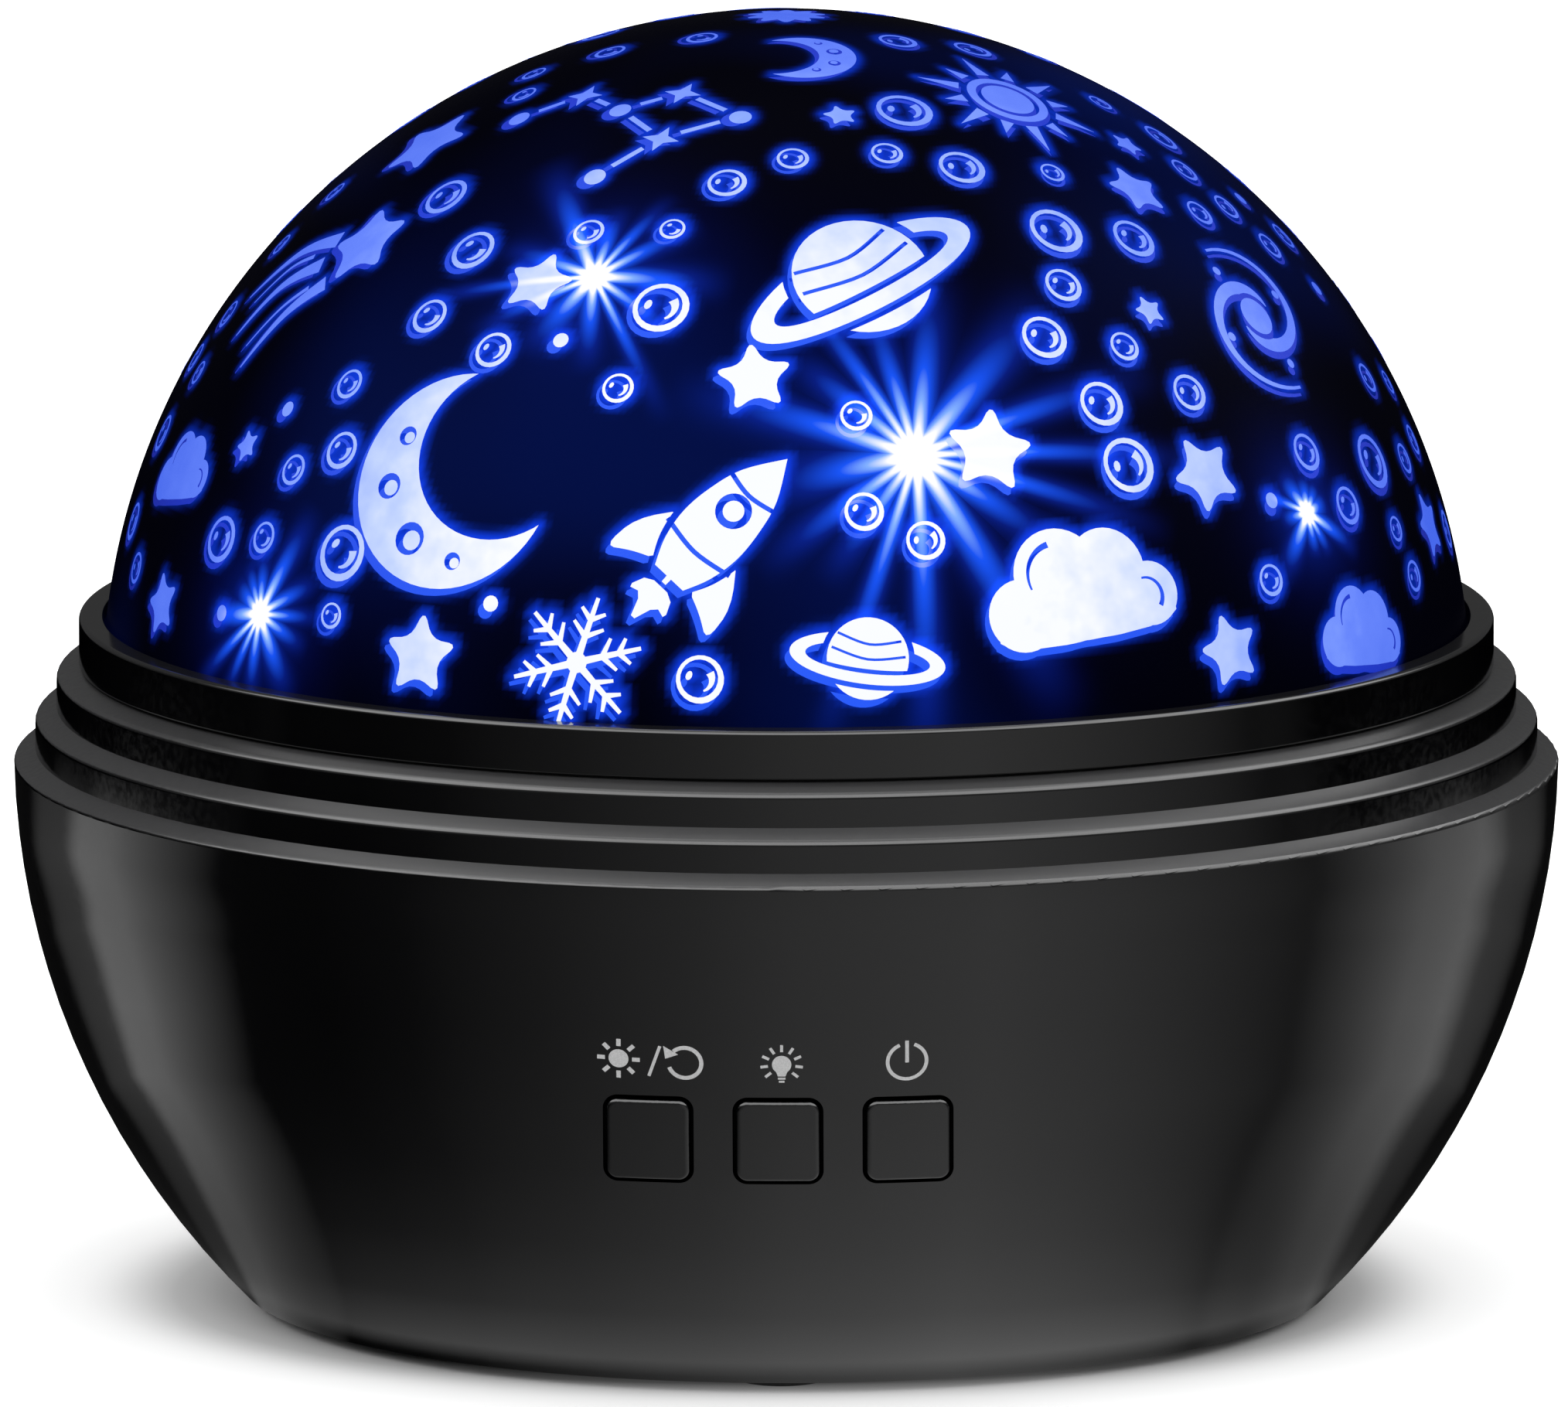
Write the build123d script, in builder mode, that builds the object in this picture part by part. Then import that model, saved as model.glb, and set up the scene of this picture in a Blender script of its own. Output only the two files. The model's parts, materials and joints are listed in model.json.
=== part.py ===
from build123d import *
import os
from math import acos, cos, pi, radians, sin, sqrt, tan

# Star night light projector: a dark film dome turns slowly on a spherical bowl that holds
# four cells, a control board with three buttons, a gear motor and a lamp.
# +Z is up, the origin is on the table under the middle, and the buttons face -Y.

os.makedirs("parts", exist_ok=True)

# ------------------------------------------------------------------ driving sizes, mm

# Bowl
bowl_radius = 65.0          # outside of the spherical wall
base_radius = 45.9          # the sphere is cut off flat at this radius
bowl_wall = 2.2
foot_stand = 1.0            # the feet hold the underside this far off the table
rim_drop = 1.0              # the spherical wall ends this far under the sphere's centre
rim_round = 0.45
flange_thick = 2.0          # floor round the battery box
flange_gap = 0.5            # between that floor's opening and the battery box

# Stepped deck between the bowl and the turning collar
ledge_width = 1.8
ledge_rise = 0.9
step_1_height = 2.6
step_2_height = 2.8
top_ledge_width = 2.1
top_ledge_rise = 0.65
lip_land = 0.3
step_round = 0.6
deck_thick = 2.1
deck_skirt_depth = 3.0
deck_skirt_thick = 1.6
skirt_fit = 0.15

# Turntable on its spigot
running_gap = 0.25          # under the collar's edge
web_thick = 1.6
spigot_r = 9.0
spigot_bore_r = 6.5
bearing_fit = 0.05
hub_wall = 3.45
land_width = 4.5
land_height = 0.6
land_gap = 0.1
hub_rise = 1.65
retainer_gap = 0.25
table_skirt_thick = 2.0
table_skirt_gap = 0.6
table_skirt_float = 1.0     # above the deck
rib_count = 6
rib_thick = 1.6
rib_drop = 2.2
lug_count = 3
lug_thick = 1.3
lug_length = 6.0
lug_height = 1.65
lug_fit = 0.2

# Drive gears
gear_module = 1.25
ring_teeth = 64
pinion_teeth = 16
pressure_angle = radians(20)
backlash = 0.15
ring_addendum = 1.0         # short, so that the pinion rolls clear
ring_rim = 4.4              # outside the tooth spaces
gear_float = 1.1            # above the deck
pinion_top_gap = 0.3
peg_count = 6
peg_r = 1.0
peg_fit = 0.05
peg_short = 0.2
pinion_hub_r = 3.0
pinion_hub_height = 0.8

# Gear motor
shaft_r = 1.47
shaft_fit = 0.06
shaft_flat = 0.45
shaft_in_case = 7.0
gearbox_r = 12.5
gearbox_height = 9.0
gearbox_boss_r = 3.3
gearbox_boss_height = 1.5
boss_fit = 0.2
motor_r = 10.0
motor_clearance = 7.6       # over the battery box
motor_chamfer = 1.0
ear_reach = 16.0            # from the shaft to each mounting screw
ear_width = 7.0
ear_thick = 1.6
motor_post_r = 2.6
motor_post_height = 4.0
terminal_width = 2.0
terminal_height = 3.0
terminal_thick = 0.5
terminal_spread = 10.0

# Film dome and what holds it
collar_overhang = 0.2       # past the deck's top lip
collar_wall = 1.0
collar_lip_thick = 1.2
collar_round = 1.0
film_edge_fit = 0.2
film_flange_reach = 0.7
film_flange_thick = 0.6
dome_thick = 0.8
dome_sink = 2.75            # the dome's centre lies this far under the turntable's top
dome_fit = 0.15
clamp_height = 2.25
clamp_width = 3.8
cap_rest_gap = 0.05

# Lamp
plug_fit = 0.05
plug_depth = 6.0
retainer_r = 12.0
retainer_thick = 1.35
column_r = 6.0
column_height = 6.2
lamp_wire_bore_r = 3.5
platform_thick = 1.0
lens_r = 13.0
lens_wall = 1.1
lens_skirt = 3.2
lens_fit = 0.2
led_board_fit = 0.2
led_board_lift = 1.2
led_board_thick = 1.2
led_r = 2.5
led_rim_r = 2.9
led_rim_height = 1.0
led_height = 4.2
led_spread = 7.2

# Base plate, feet and case screws
plate_margin = 2.5          # bowl edge round the plate
plate_fit = 0.2
plate_thick = 2.4
post_inset = 3.4            # case posts and screws, in from the plate's edge
post_r = 3.0
post_pilot_depth = 10.0
foot_inset = 4.9
foot_r = 4.0
foot_fit = 0.1
foot_pocket = 0.8
foot_chamfer = 0.4
case_screw_r = 1.4
case_head_r = 2.6
case_head_height = 1.1
case_screw_bite = 8.0
screw_fit = 0.05
screw_hole_gap = 0.2
counterbore_gap = 0.3
counterbore_depth = 1.2

# Batteries, their box and its door
cell_r = 5.25
cell_length = 44.5
cell_nub_r = 1.9
cell_nub_length = 0.9
cell_count = 4
cell_pitch = 10.8
contact_room = 2.75
cell_side_gap = 0.45
cell_door_gap = 0.2
cell_roof_gap = 0.4
box_wall = 1.4
box_corner_r = 2.0
box_rib_thick = 1.0
box_rib_height = 2.4
door_thick = 1.8
door_seat_gap = 0.05
door_ledge_x = 1.0
door_ledge_y = 0.8
door_gap_x = 0.2
door_gap_y = 0.3
door_corner_r = 1.5
tongue_width = 4.0
tongue_thick = 1.2
tongue_root = 1.0           # along the door, inside the box
tongue_reach = 1.2
tongue_fit = 0.5
tongue_slot_top = 2.8       # room above the door for the tongues to swing
tongue_lip = 1.2
latch_width = 12.0
latch_length = 8.0
latch_slit = 0.7
thumb_width = 10.0
thumb_reach = 3.5
thumb_depth = 1.2
grip_width = 8.0
grip_length = 3.0
grip_depth = 0.7
contact_plate = 0.4
contact_width = 7.0
contact_height = 6.5
contact_nub_r = 1.6
contact_gap = 0.05
leaf_width = 4.0
leaf_thick = 0.4
leaf_half_height = 2.8

# Buttons and control board
button_z = 24.15
button_spacing = 10.7
button_count = 3
window_width = 7.5
window_height = 7.8
window_corner_r = 1.25
button_gap = 0.3
button_proud = 0.25
button_edge_round = 0.4
button_travel = 0.8
button_hollow = 4.0
button_skin = 1.1
button_stem_r = 1.5
button_flange_reach = 1.0
button_flange_thick = 1.0
button_rest_gap = 0.05
guide_depth = 5.4
guide_side = 1.55
guide_height = 11.0
switch_size = 6.0
switch_height = 3.5
plunger_r = 1.7
plunger_fit = 0.1
plunger_proud = 1.5
plunger_in = 0.6
plunger_end_gap = 0.2
board_width = 44.0
board_height = 15.0
board_thick = 1.6
board_post_x = 18.6
board_post_r = 2.2
board_screw_r = 0.9
board_head_r = 1.9
board_head_height = 1.0
board_screw_bite = 6.0
pilot_spare = 1.0
chip_width = 8.0
chip_height = 5.4
chip_thick = 1.6
chip_x = -4.0

# Power inlet at the back
inlet_z = 24.0
inlet_nose_r = 3.2
inlet_hole_gap = 0.15
inlet_recess = 1.2
inlet_bore_r = 1.9
inlet_bore_depth = 9.0
inlet_pin_r = 0.65
inlet_pin_recess = 1.0
inlet_body_width = 9.0
inlet_body_height = 9.0
inlet_body_length = 8.0
inlet_wall_gap = 0.3
inlet_board_width = 28.0
inlet_board_height = 11.0
inlet_post_x = 11.0

# ------------------------------------------------------------------ worked-out places

bowl_centre_z = foot_stand + sqrt(bowl_radius**2 - base_radius**2)
rim_z = bowl_centre_z - rim_drop
seat_z = rim_z + ledge_rise
plate_top = foot_stand + plate_thick
flange_top = plate_top + flange_thick

step_1_r = bowl_radius - ledge_width
step_2_r = step_1_r - ledge_width
lip_r = step_2_r - top_ledge_width
deck_bore_r = lip_r - lip_land
step_1_top = seat_z + step_1_height
step_2_base = step_1_top + ledge_rise
step_2_top = step_2_base + step_2_height
lip_z = step_2_top + top_ledge_rise
deck_top = seat_z + deck_thick
deck_skirt_z = seat_z - deck_skirt_depth

table_top = lip_z + running_gap
web_under = table_top - web_thick
table_skirt_r = deck_bore_r - table_skirt_gap
table_skirt_in_r = table_skirt_r - table_skirt_thick
hub_bore_r = spigot_r + bearing_fit
hub_r = hub_bore_r + hub_wall
land_top = deck_top + land_height
hub_base = land_top + land_gap
hub_top = table_top + hub_rise
spigot_top = hub_top + retainer_gap

gear_base = deck_top + gear_float
ring_pitch_r = gear_module * ring_teeth / 2
pinion_pitch_r = gear_module * pinion_teeth / 2
pinion_x = ring_pitch_r - pinion_pitch_r
pinion_top = web_under - pinion_top_gap
dedendum = 1.25 * gear_module
ring_root_r = ring_pitch_r + dedendum
ring_outer_r = ring_root_r + ring_rim
peg_circle_r = ring_root_r + ring_rim / 2
gearbox_base = seat_z - gearbox_height
motor_post_z = seat_z - motor_post_height

collar_r = lip_r + collar_overhang
collar_bore_r = collar_r - collar_wall
film_edge_r = collar_bore_r - film_edge_fit
dome_radius = film_edge_r - film_flange_reach
dome_centre_z = table_top - dome_sink
clamp_base = table_top + cap_rest_gap
clamp_top = table_top + clamp_height
film_flange_top = clamp_top + film_flange_thick
collar_top = film_flange_top + collar_lip_thick
clamp_inner_r = film_edge_r - clamp_width
lug_circle_r = clamp_inner_r + lug_fit + lug_thick / 2 + lug_fit

platform_z = spigot_top + retainer_thick + column_height
lens_base = platform_z + platform_thick
lens_centre_z = lens_base + lens_skirt
led_board_z = lens_base + led_board_lift
led_board_top = led_board_z + led_board_thick
platform_r = lens_r - lens_wall - lens_fit

plate_r = base_radius - plate_margin
post_circle_r = plate_r - post_inset
foot_circle_r = plate_r - foot_inset
post_pilot_r = case_screw_r + screw_fit
case_hole_r = case_screw_r + screw_hole_gap

box_in_x = cell_length / 2 + contact_room
box_in_y = (cell_count - 1) / 2 * cell_pitch + cell_r + cell_side_gap
box_out_x = box_in_x + box_wall
box_out_y = box_in_y + box_wall
door_top = foot_stand + door_thick
door_seat = door_top + door_seat_gap
cell_z = door_top + cell_door_gap + cell_r
box_in_top = cell_z + cell_r + cell_roof_gap
box_top = box_in_top + box_wall
motor_base = box_top + motor_clearance
motor_height = gearbox_base - motor_base
opening_x = box_in_x + door_ledge_x
opening_y = box_in_y + door_ledge_y
door_x = opening_x - door_gap_x
door_y = opening_y - door_gap_y
tongue_ys = (-cell_pitch, cell_pitch)
tongue_tip_x = opening_x + tongue_reach
tongue_slot_x = tongue_tip_x + tongue_fit
tongue_root_x = box_in_x - tongue_root
tongue_slot_width = tongue_width + 2 * tongue_fit
cell_ys = [(i - (cell_count - 1) / 2) * cell_pitch for i in range(cell_count)]


def outer_r(z):
    """Outside radius of the bowl at height z."""
    return sqrt(bowl_radius**2 - (z - bowl_centre_z) ** 2)


def inner_r(z):
    """Inside radius of the bowl at height z."""
    return sqrt((bowl_radius - bowl_wall) ** 2 - (z - bowl_centre_z) ** 2)


# Distances from the axis, along Y, of the stack behind the buttons
guide_face = inner_r(button_z) - guide_depth
cap_flange_face = guide_face - button_rest_gap
cap_back = cap_flange_face - button_flange_thick
switch_face = cap_back - plunger_proud
board_face = switch_face - switch_height
board_back = board_face - board_thick
button_xs = [(i - (button_count - 1) / 2) * button_spacing for i in range(button_count)]
cap_width = window_width - 2 * button_gap
cap_height = window_height - 2 * button_gap
cap_corner_r = window_corner_r - button_gap
guide_width = (button_count - 1) * button_spacing + window_width + 2 * guide_side
board_pilot_r = board_screw_r + screw_fit
board_hole_r = board_screw_r + screw_hole_gap

# and of the power inlet
inlet_corner_r = inner_r(inlet_z - inlet_body_height / 2)
inlet_front = sqrt(inlet_corner_r**2 - (inlet_body_width / 2) ** 2) - inlet_wall_gap
inlet_board_face = inlet_front - inlet_body_length
inlet_board_back = inlet_board_face - board_thick
inlet_mouth = outer_r(inlet_z) - inlet_recess
inlet_bore_end = inlet_mouth - inlet_bore_depth

underside = Plane((0, 0, foot_stand), x_dir=(1, 0, 0), z_dir=(0, 0, -1))


def front_plane(distance):
    """Upright plane in front of the axis: local x is X, local y is Z, extrudes forwards."""
    return Plane.XZ.offset(distance)


def back_plane(distance):
    """Upright plane behind the axis: local x is X, local y is Z, extrudes forwards."""
    return Plane.XZ.offset(-distance)


def gear_lobes(teeth, low_r, high_r, slack):
    """Draw a ring of involute lobes: a pinion's teeth, or the spaces of a ring gear."""
    pitch_r = gear_module * teeth / 2
    base_r = pitch_r * cos(pressure_angle)
    flank_r = max(low_r, base_r)
    mean_r = (flank_r + high_r) / 2
    step = 2 * pi / teeth

    def roll(radius):
        angle = acos(base_r / radius)
        return tan(angle) - angle

    def half(radius):
        return pi / (2 * teeth) + slack / (2 * pitch_r) + roll(pitch_r) - roll(radius)

    def at(radius, angle):
        return (radius * cos(angle), radius * sin(angle))

    low = half(flank_r)
    mean = half(mean_r)
    high = half(high_r)
    for k in range(teeth):
        mid = k * step
        after = mid + step
        ThreePointArc(at(flank_r, mid - low), at(mean_r, mid - mean), at(high_r, mid - high))
        ThreePointArc(at(high_r, mid - high), at(high_r, mid), at(high_r, mid + high))
        ThreePointArc(at(high_r, mid + high), at(mean_r, mid + mean), at(flank_r, mid + low))
        if flank_r > low_r:
            Line(at(flank_r, mid + low), at(low_r, mid + low))
            Line(at(low_r, after - low), at(flank_r, after - low))
        ThreePointArc(at(low_r, mid + low), at(low_r, mid + step / 2), at(low_r, after - low))


# ------------------------------------------------------------------ bowl and base

# The bowl's hollow, less the guides and posts that stand in it
with BuildPart() as bowl_hollow:
    hollow_top = seat_z + ledge_rise
    hollow_mid = (flange_top + hollow_top) / 2
    with BuildSketch(Plane.XZ):
        with BuildLine():
            ThreePointArc(
                (inner_r(flange_top), flange_top),
                (inner_r(hollow_mid), hollow_mid),
                (inner_r(hollow_top), hollow_top),
            )
            Polyline(
                (inner_r(hollow_top), hollow_top),
                (0, hollow_top),
                (0, flange_top),
                (inner_r(flange_top), flange_top),
            )
        make_face()
    revolve(axis=Axis.Z)
    with BuildSketch(front_plane(guide_face)):
        with Locations((0, button_z)):
            Rectangle(guide_width, guide_height)
    extrude(amount=bowl_radius, mode=Mode.SUBTRACT)
    with BuildSketch(front_plane(board_face)):
        with Locations((-board_post_x, button_z), (board_post_x, button_z)):
            Circle(board_post_r)
    extrude(amount=bowl_radius, mode=Mode.SUBTRACT)
    with BuildSketch(back_plane(inlet_board_face)):
        with Locations((-inlet_post_x, inlet_z), (inlet_post_x, inlet_z)):
            Circle(board_post_r)
    extrude(amount=-bowl_radius, mode=Mode.SUBTRACT)

with BuildPart() as bowl_shell:
    wall_mid = (foot_stand + rim_z) / 2
    with BuildSketch(Plane.XZ) as bowl_profile:
        with BuildLine():
            ThreePointArc(
                (outer_r(foot_stand), foot_stand),
                (outer_r(wall_mid), wall_mid),
                (outer_r(rim_z), rim_z),
            )
            Polyline(
                (outer_r(rim_z), rim_z),
                (step_1_r, seat_z),
                (0, seat_z),
                (0, foot_stand),
                (outer_r(foot_stand), foot_stand),
            )
        make_face()
        fillet(bowl_profile.vertices().sort_by(Axis.X)[-1], rim_round)
    revolve(axis=Axis.Z)
    add(bowl_hollow.part, mode=Mode.SUBTRACT)
    # rebate for the base plate, and the opening round the battery box
    with BuildSketch(Plane.XY.offset(foot_stand)):
        Circle(plate_r + plate_fit)
    extrude(amount=plate_thick, mode=Mode.SUBTRACT)
    with BuildSketch(Plane.XY.offset(plate_top)):
        RectangleRounded(
            2 * (box_out_x + flange_gap),
            2 * (box_out_y + flange_gap),
            box_corner_r + flange_gap,
        )
        with Locations([(box_out_x, y) for y in tongue_ys]):
            Rectangle(2 * (tongue_slot_x - box_out_x), tongue_slot_width)
        with PolarLocations(post_circle_r, 4, start_angle=45):
            Circle(case_hole_r)
    extrude(amount=flange_thick, mode=Mode.SUBTRACT)
    # three button windows
    with BuildSketch(front_plane(guide_face)):
        with Locations([(x, button_z) for x in button_xs]):
            RectangleRounded(window_width, window_height, window_corner_r)
    extrude(amount=bowl_radius, mode=Mode.SUBTRACT)
    # pilot holes in the board posts
    with BuildSketch(front_plane(board_face)):
        with Locations((-board_post_x, button_z), (board_post_x, button_z)):
            Circle(board_pilot_r)
    extrude(amount=board_screw_bite + pilot_spare, mode=Mode.SUBTRACT)
    with BuildSketch(back_plane(inlet_board_face)):
        with Locations((-inlet_post_x, inlet_z), (inlet_post_x, inlet_z)):
            Circle(board_pilot_r)
    extrude(amount=-(board_screw_bite + pilot_spare), mode=Mode.SUBTRACT)
    # power inlet hole
    with BuildSketch(back_plane(inlet_front)):
        with Locations((0, inlet_z)):
            Circle(inlet_nose_r + inlet_hole_gap)
    extrude(amount=-bowl_radius, mode=Mode.SUBTRACT)
bowl_shell.part.label = "bowl_shell"
export_step(bowl_shell.part, "parts/bowl_shell.step")

with BuildPart() as base_plate:
    with BuildSketch(Plane.XY.offset(foot_stand)):
        Circle(plate_r)
    extrude(amount=plate_thick)
    with BuildSketch(Plane.XY.offset(plate_top)):
        RectangleRounded(2 * box_out_x, 2 * box_out_y, box_corner_r)
    extrude(amount=box_top - plate_top)
    with BuildSketch(Plane.XY.offset(foot_stand)):
        Rectangle(2 * box_in_x, 2 * box_in_y)
    extrude(amount=box_in_top - foot_stand, mode=Mode.SUBTRACT)
    with BuildSketch(Plane.XY.offset(foot_stand)):
        RectangleRounded(2 * opening_x, 2 * opening_y, door_corner_r)
    extrude(amount=door_seat - foot_stand, mode=Mode.SUBTRACT)
    # ribs between the cells, hanging from the roof
    with BuildSketch(Plane.XY.offset(box_in_top - box_rib_height)):
        with Locations([(0, (a + b) / 2) for a, b in zip(cell_ys, cell_ys[1:])]):
            Rectangle(2 * box_in_x, box_rib_thick)
    extrude(amount=box_rib_height)
    # slots that the door's tongues hook into
    with BuildSketch(Plane.XY.offset(foot_stand + tongue_lip)):
        with Locations([(box_in_x, y) for y in tongue_ys]):
            Rectangle(2 * (tongue_slot_x - box_in_x), tongue_slot_width)
    extrude(amount=door_top + tongue_slot_top - foot_stand - tongue_lip, mode=Mode.SUBTRACT)
    # thumb notch by the latch
    with BuildSketch(Plane.XY.offset(foot_stand)):
        with Locations((-opening_x - thumb_reach / 2, 0)):
            Rectangle(thumb_reach + door_corner_r, thumb_width)
    extrude(amount=thumb_depth, mode=Mode.SUBTRACT)
    # case screws and foot pockets
    with Locations(underside):
        with PolarLocations(post_circle_r, 4, start_angle=45):
            CounterBoreHole(
                case_hole_r,
                case_head_r + counterbore_gap,
                counterbore_depth,
                depth=plate_thick,
            )
    with BuildSketch(Plane.XY.offset(foot_stand)):
        with PolarLocations(foot_circle_r, 4):
            Circle(foot_r + foot_fit)
    extrude(amount=foot_pocket, mode=Mode.SUBTRACT)
base_plate.part.label = "base_plate"
export_step(base_plate.part, "parts/base_plate.step")

for i, place in enumerate(PolarLocations(foot_circle_r, 4), start=1):
    with BuildPart() as rubber_foot:
        with BuildSketch(Plane.XY):
            with Locations(place):
                Circle(foot_r)
        extrude(amount=foot_stand + foot_pocket)
        chamfer(rubber_foot.faces().sort_by(Axis.Z)[0].edges(), foot_chamfer)
    rubber_foot.part.label = f"rubber_foot_{i}"
    export_step(rubber_foot.part, f"parts/rubber_foot_{i}.step")

with BuildPart() as case_screws:
    head_under = foot_stand + counterbore_depth
    with BuildSketch(Plane.XY.offset(head_under)):
        with PolarLocations(post_circle_r, 4, start_angle=45):
            Circle(case_head_r)
    extrude(amount=-case_head_height)
    with BuildSketch(Plane.XY.offset(head_under)):
        with PolarLocations(post_circle_r, 4, start_angle=45):
            Circle(case_screw_r)
    extrude(amount=flange_top + case_screw_bite - head_under)
case_screws.part.label = "case_screws"
export_step(case_screws.part, "parts/case_screws.step")

# ------------------------------------------------------------------ batteries and door

for i, y in enumerate(cell_ys):
    heading = 1 if i % 2 == 0 else -1
    with BuildPart() as battery_cell:
        with BuildSketch(Plane.YZ.offset(-heading * cell_length / 2)):
            with Locations((y, cell_z)):
                Circle(cell_r)
        extrude(amount=heading * (cell_length - cell_nub_length))
        with BuildSketch(Plane.YZ.offset(heading * (cell_length / 2 - cell_nub_length))):
            with Locations((y, cell_z)):
                Circle(cell_nub_r)
        extrude(amount=heading * cell_nub_length)
    battery_cell.part.label = f"battery_cell_{i + 1}"
    export_step(battery_cell.part, f"parts/battery_cell_{i + 1}.step")

# Stamped contacts on both end walls: a nub for each positive end, a bowed leaf for each
# negative end, and a plate that bridges each pair of cells in series
with BuildPart() as battery_contacts:
    touch_x = cell_length / 2 + contact_gap
    plate_x = box_in_x - contact_plate
    for end in (-1, 1):
        first = 0 if end < 0 else -1
        for start in range(first, cell_count, 2):
            group = [cell_ys[k] for k in (start, start + 1) if 0 <= k < cell_count]
            with BuildSketch(Plane.YZ.offset(end * box_in_x)):
                with Locations((sum(group) / len(group), cell_z)):
                    Rectangle(group[-1] - group[0] + contact_width, contact_height)
            extrude(amount=-end * contact_plate)
        for i, y in enumerate(cell_ys):
            heading = 1 if i % 2 == 0 else -1
            if heading == end:
                with BuildSketch(Plane.YZ.offset(end * touch_x)):
                    with Locations((y, cell_z)):
                        Circle(contact_nub_r)
                extrude(amount=end * (plate_x - touch_x))
            else:
                with BuildSketch(Plane.XZ.offset(-y)):
                    with BuildLine():
                        ThreePointArc(
                            (end * plate_x, cell_z - leaf_half_height),
                            (end * touch_x, cell_z),
                            (end * plate_x, cell_z + leaf_half_height),
                        )
                        Line(
                            (end * plate_x, cell_z + leaf_half_height),
                            (end * plate_x, cell_z + leaf_half_height - leaf_thick),
                        )
                        ThreePointArc(
                            (end * plate_x, cell_z + leaf_half_height - leaf_thick),
                            (end * (touch_x + leaf_thick), cell_z),
                            (end * plate_x, cell_z - leaf_half_height + leaf_thick),
                        )
                        Line(
                            (end * plate_x, cell_z - leaf_half_height + leaf_thick),
                            (end * plate_x, cell_z - leaf_half_height),
                        )
                    make_face()
                extrude(amount=leaf_width / 2, both=True)
battery_contacts.part.label = "battery_contacts"
export_step(battery_contacts.part, "parts/battery_contacts.step")

with BuildPart() as battery_door:
    with BuildSketch(Plane.XY.offset(foot_stand)):
        RectangleRounded(2 * door_x, 2 * door_y, door_corner_r)
    extrude(amount=door_thick)
    # tongues on the hinge side
    with BuildSketch(Plane.XY.offset(door_top)):
        with Locations([((tongue_tip_x + tongue_root_x) / 2, y) for y in tongue_ys]):
            Rectangle(tongue_tip_x - tongue_root_x, tongue_width)
    extrude(amount=tongue_thick)
    # springy latch between two slits, with a grip
    with BuildSketch(Plane.XY.offset(foot_stand)):
        with Locations((-door_x + latch_length / 2, 0)):
            with GridLocations(0, latch_width, 1, 2):
                Rectangle(latch_length, latch_slit)
    extrude(amount=door_thick, mode=Mode.SUBTRACT)
    with BuildSketch(Plane.XY.offset(foot_stand)):
        with Locations((-door_x + latch_length / 2, 0)):
            SlotOverall(grip_width, grip_length, rotation=90)
    extrude(amount=grip_depth, mode=Mode.SUBTRACT)
battery_door.part.label = "battery_door"
export_step(battery_door.part, "parts/battery_door.step")

# ------------------------------------------------------------------ buttons and board

for i, x in enumerate(button_xs, start=1):
    with BuildPart() as button_cap:
        with BuildSketch(front_plane(cap_back)):
            with Locations((x, button_z)):
                RectangleRounded(cap_width, cap_height, cap_corner_r)
        extrude(amount=bowl_radius)
        with Locations((0, 0, bowl_centre_z)):
            Sphere(bowl_radius + button_proud, mode=Mode.INTERSECT)
        fillet(button_cap.faces().sort_by(Axis.Y)[0].edges(), button_edge_round)
        with BuildSketch(front_plane(cap_back)):
            with Locations((x, button_z)):
                RectangleRounded(
                    window_width + 2 * button_flange_reach - 2 * button_gap,
                    window_height + 2 * button_flange_reach - 2 * button_gap,
                    window_corner_r,
                )
        extrude(amount=button_flange_thick)
        with BuildSketch(front_plane(cap_back)):
            with Locations((x, button_z)):
                Rectangle(cap_width - 2 * button_skin, cap_height - 2 * button_skin)
                Circle(button_stem_r, mode=Mode.SUBTRACT)
        extrude(amount=button_hollow, mode=Mode.SUBTRACT)
    button_cap.part.label = f"button_cap_{i}"
    export_step(button_cap.part, f"parts/button_cap_{i}.step")

    with BuildPart() as switch_plunger:
        with BuildSketch(front_plane(switch_face - plunger_in)):
            with Locations((x, button_z)):
                Circle(plunger_r)
        extrude(amount=plunger_in + plunger_proud)
    switch_plunger.part.label = f"switch_plunger_{i}"
    export_step(switch_plunger.part, f"parts/switch_plunger_{i}.step")

    with BuildPart() as switch_body:
        with BuildSketch(front_plane(board_face)):
            with Locations((x, button_z)):
                RectangleRounded(switch_size, switch_size, window_corner_r / 2)
        extrude(amount=switch_height)
        with BuildSketch(front_plane(switch_face)):
            with Locations((x, button_z)):
                Circle(plunger_r + plunger_fit)
        extrude(amount=-(plunger_in + button_travel + plunger_end_gap), mode=Mode.SUBTRACT)
    switch_body.part.label = f"switch_body_{i}"
    export_step(switch_body.part, f"parts/switch_body_{i}.step")

with BuildPart() as control_board:
    with BuildSketch(front_plane(board_back)):
        with Locations((0, button_z)):
            Rectangle(board_width, board_height)
        with Locations((-board_post_x, button_z), (board_post_x, button_z)):
            Circle(board_hole_r, mode=Mode.SUBTRACT)
    extrude(amount=board_thick)
control_board.part.label = "control_board"
export_step(control_board.part, "parts/control_board.step")

with BuildPart() as control_chip:
    with BuildSketch(front_plane(board_back)):
        with Locations((chip_x, button_z)):
            Rectangle(chip_width, chip_height)
    extrude(amount=-chip_thick)
control_chip.part.label = "control_chip"
export_step(control_chip.part, "parts/control_chip.step")

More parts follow.
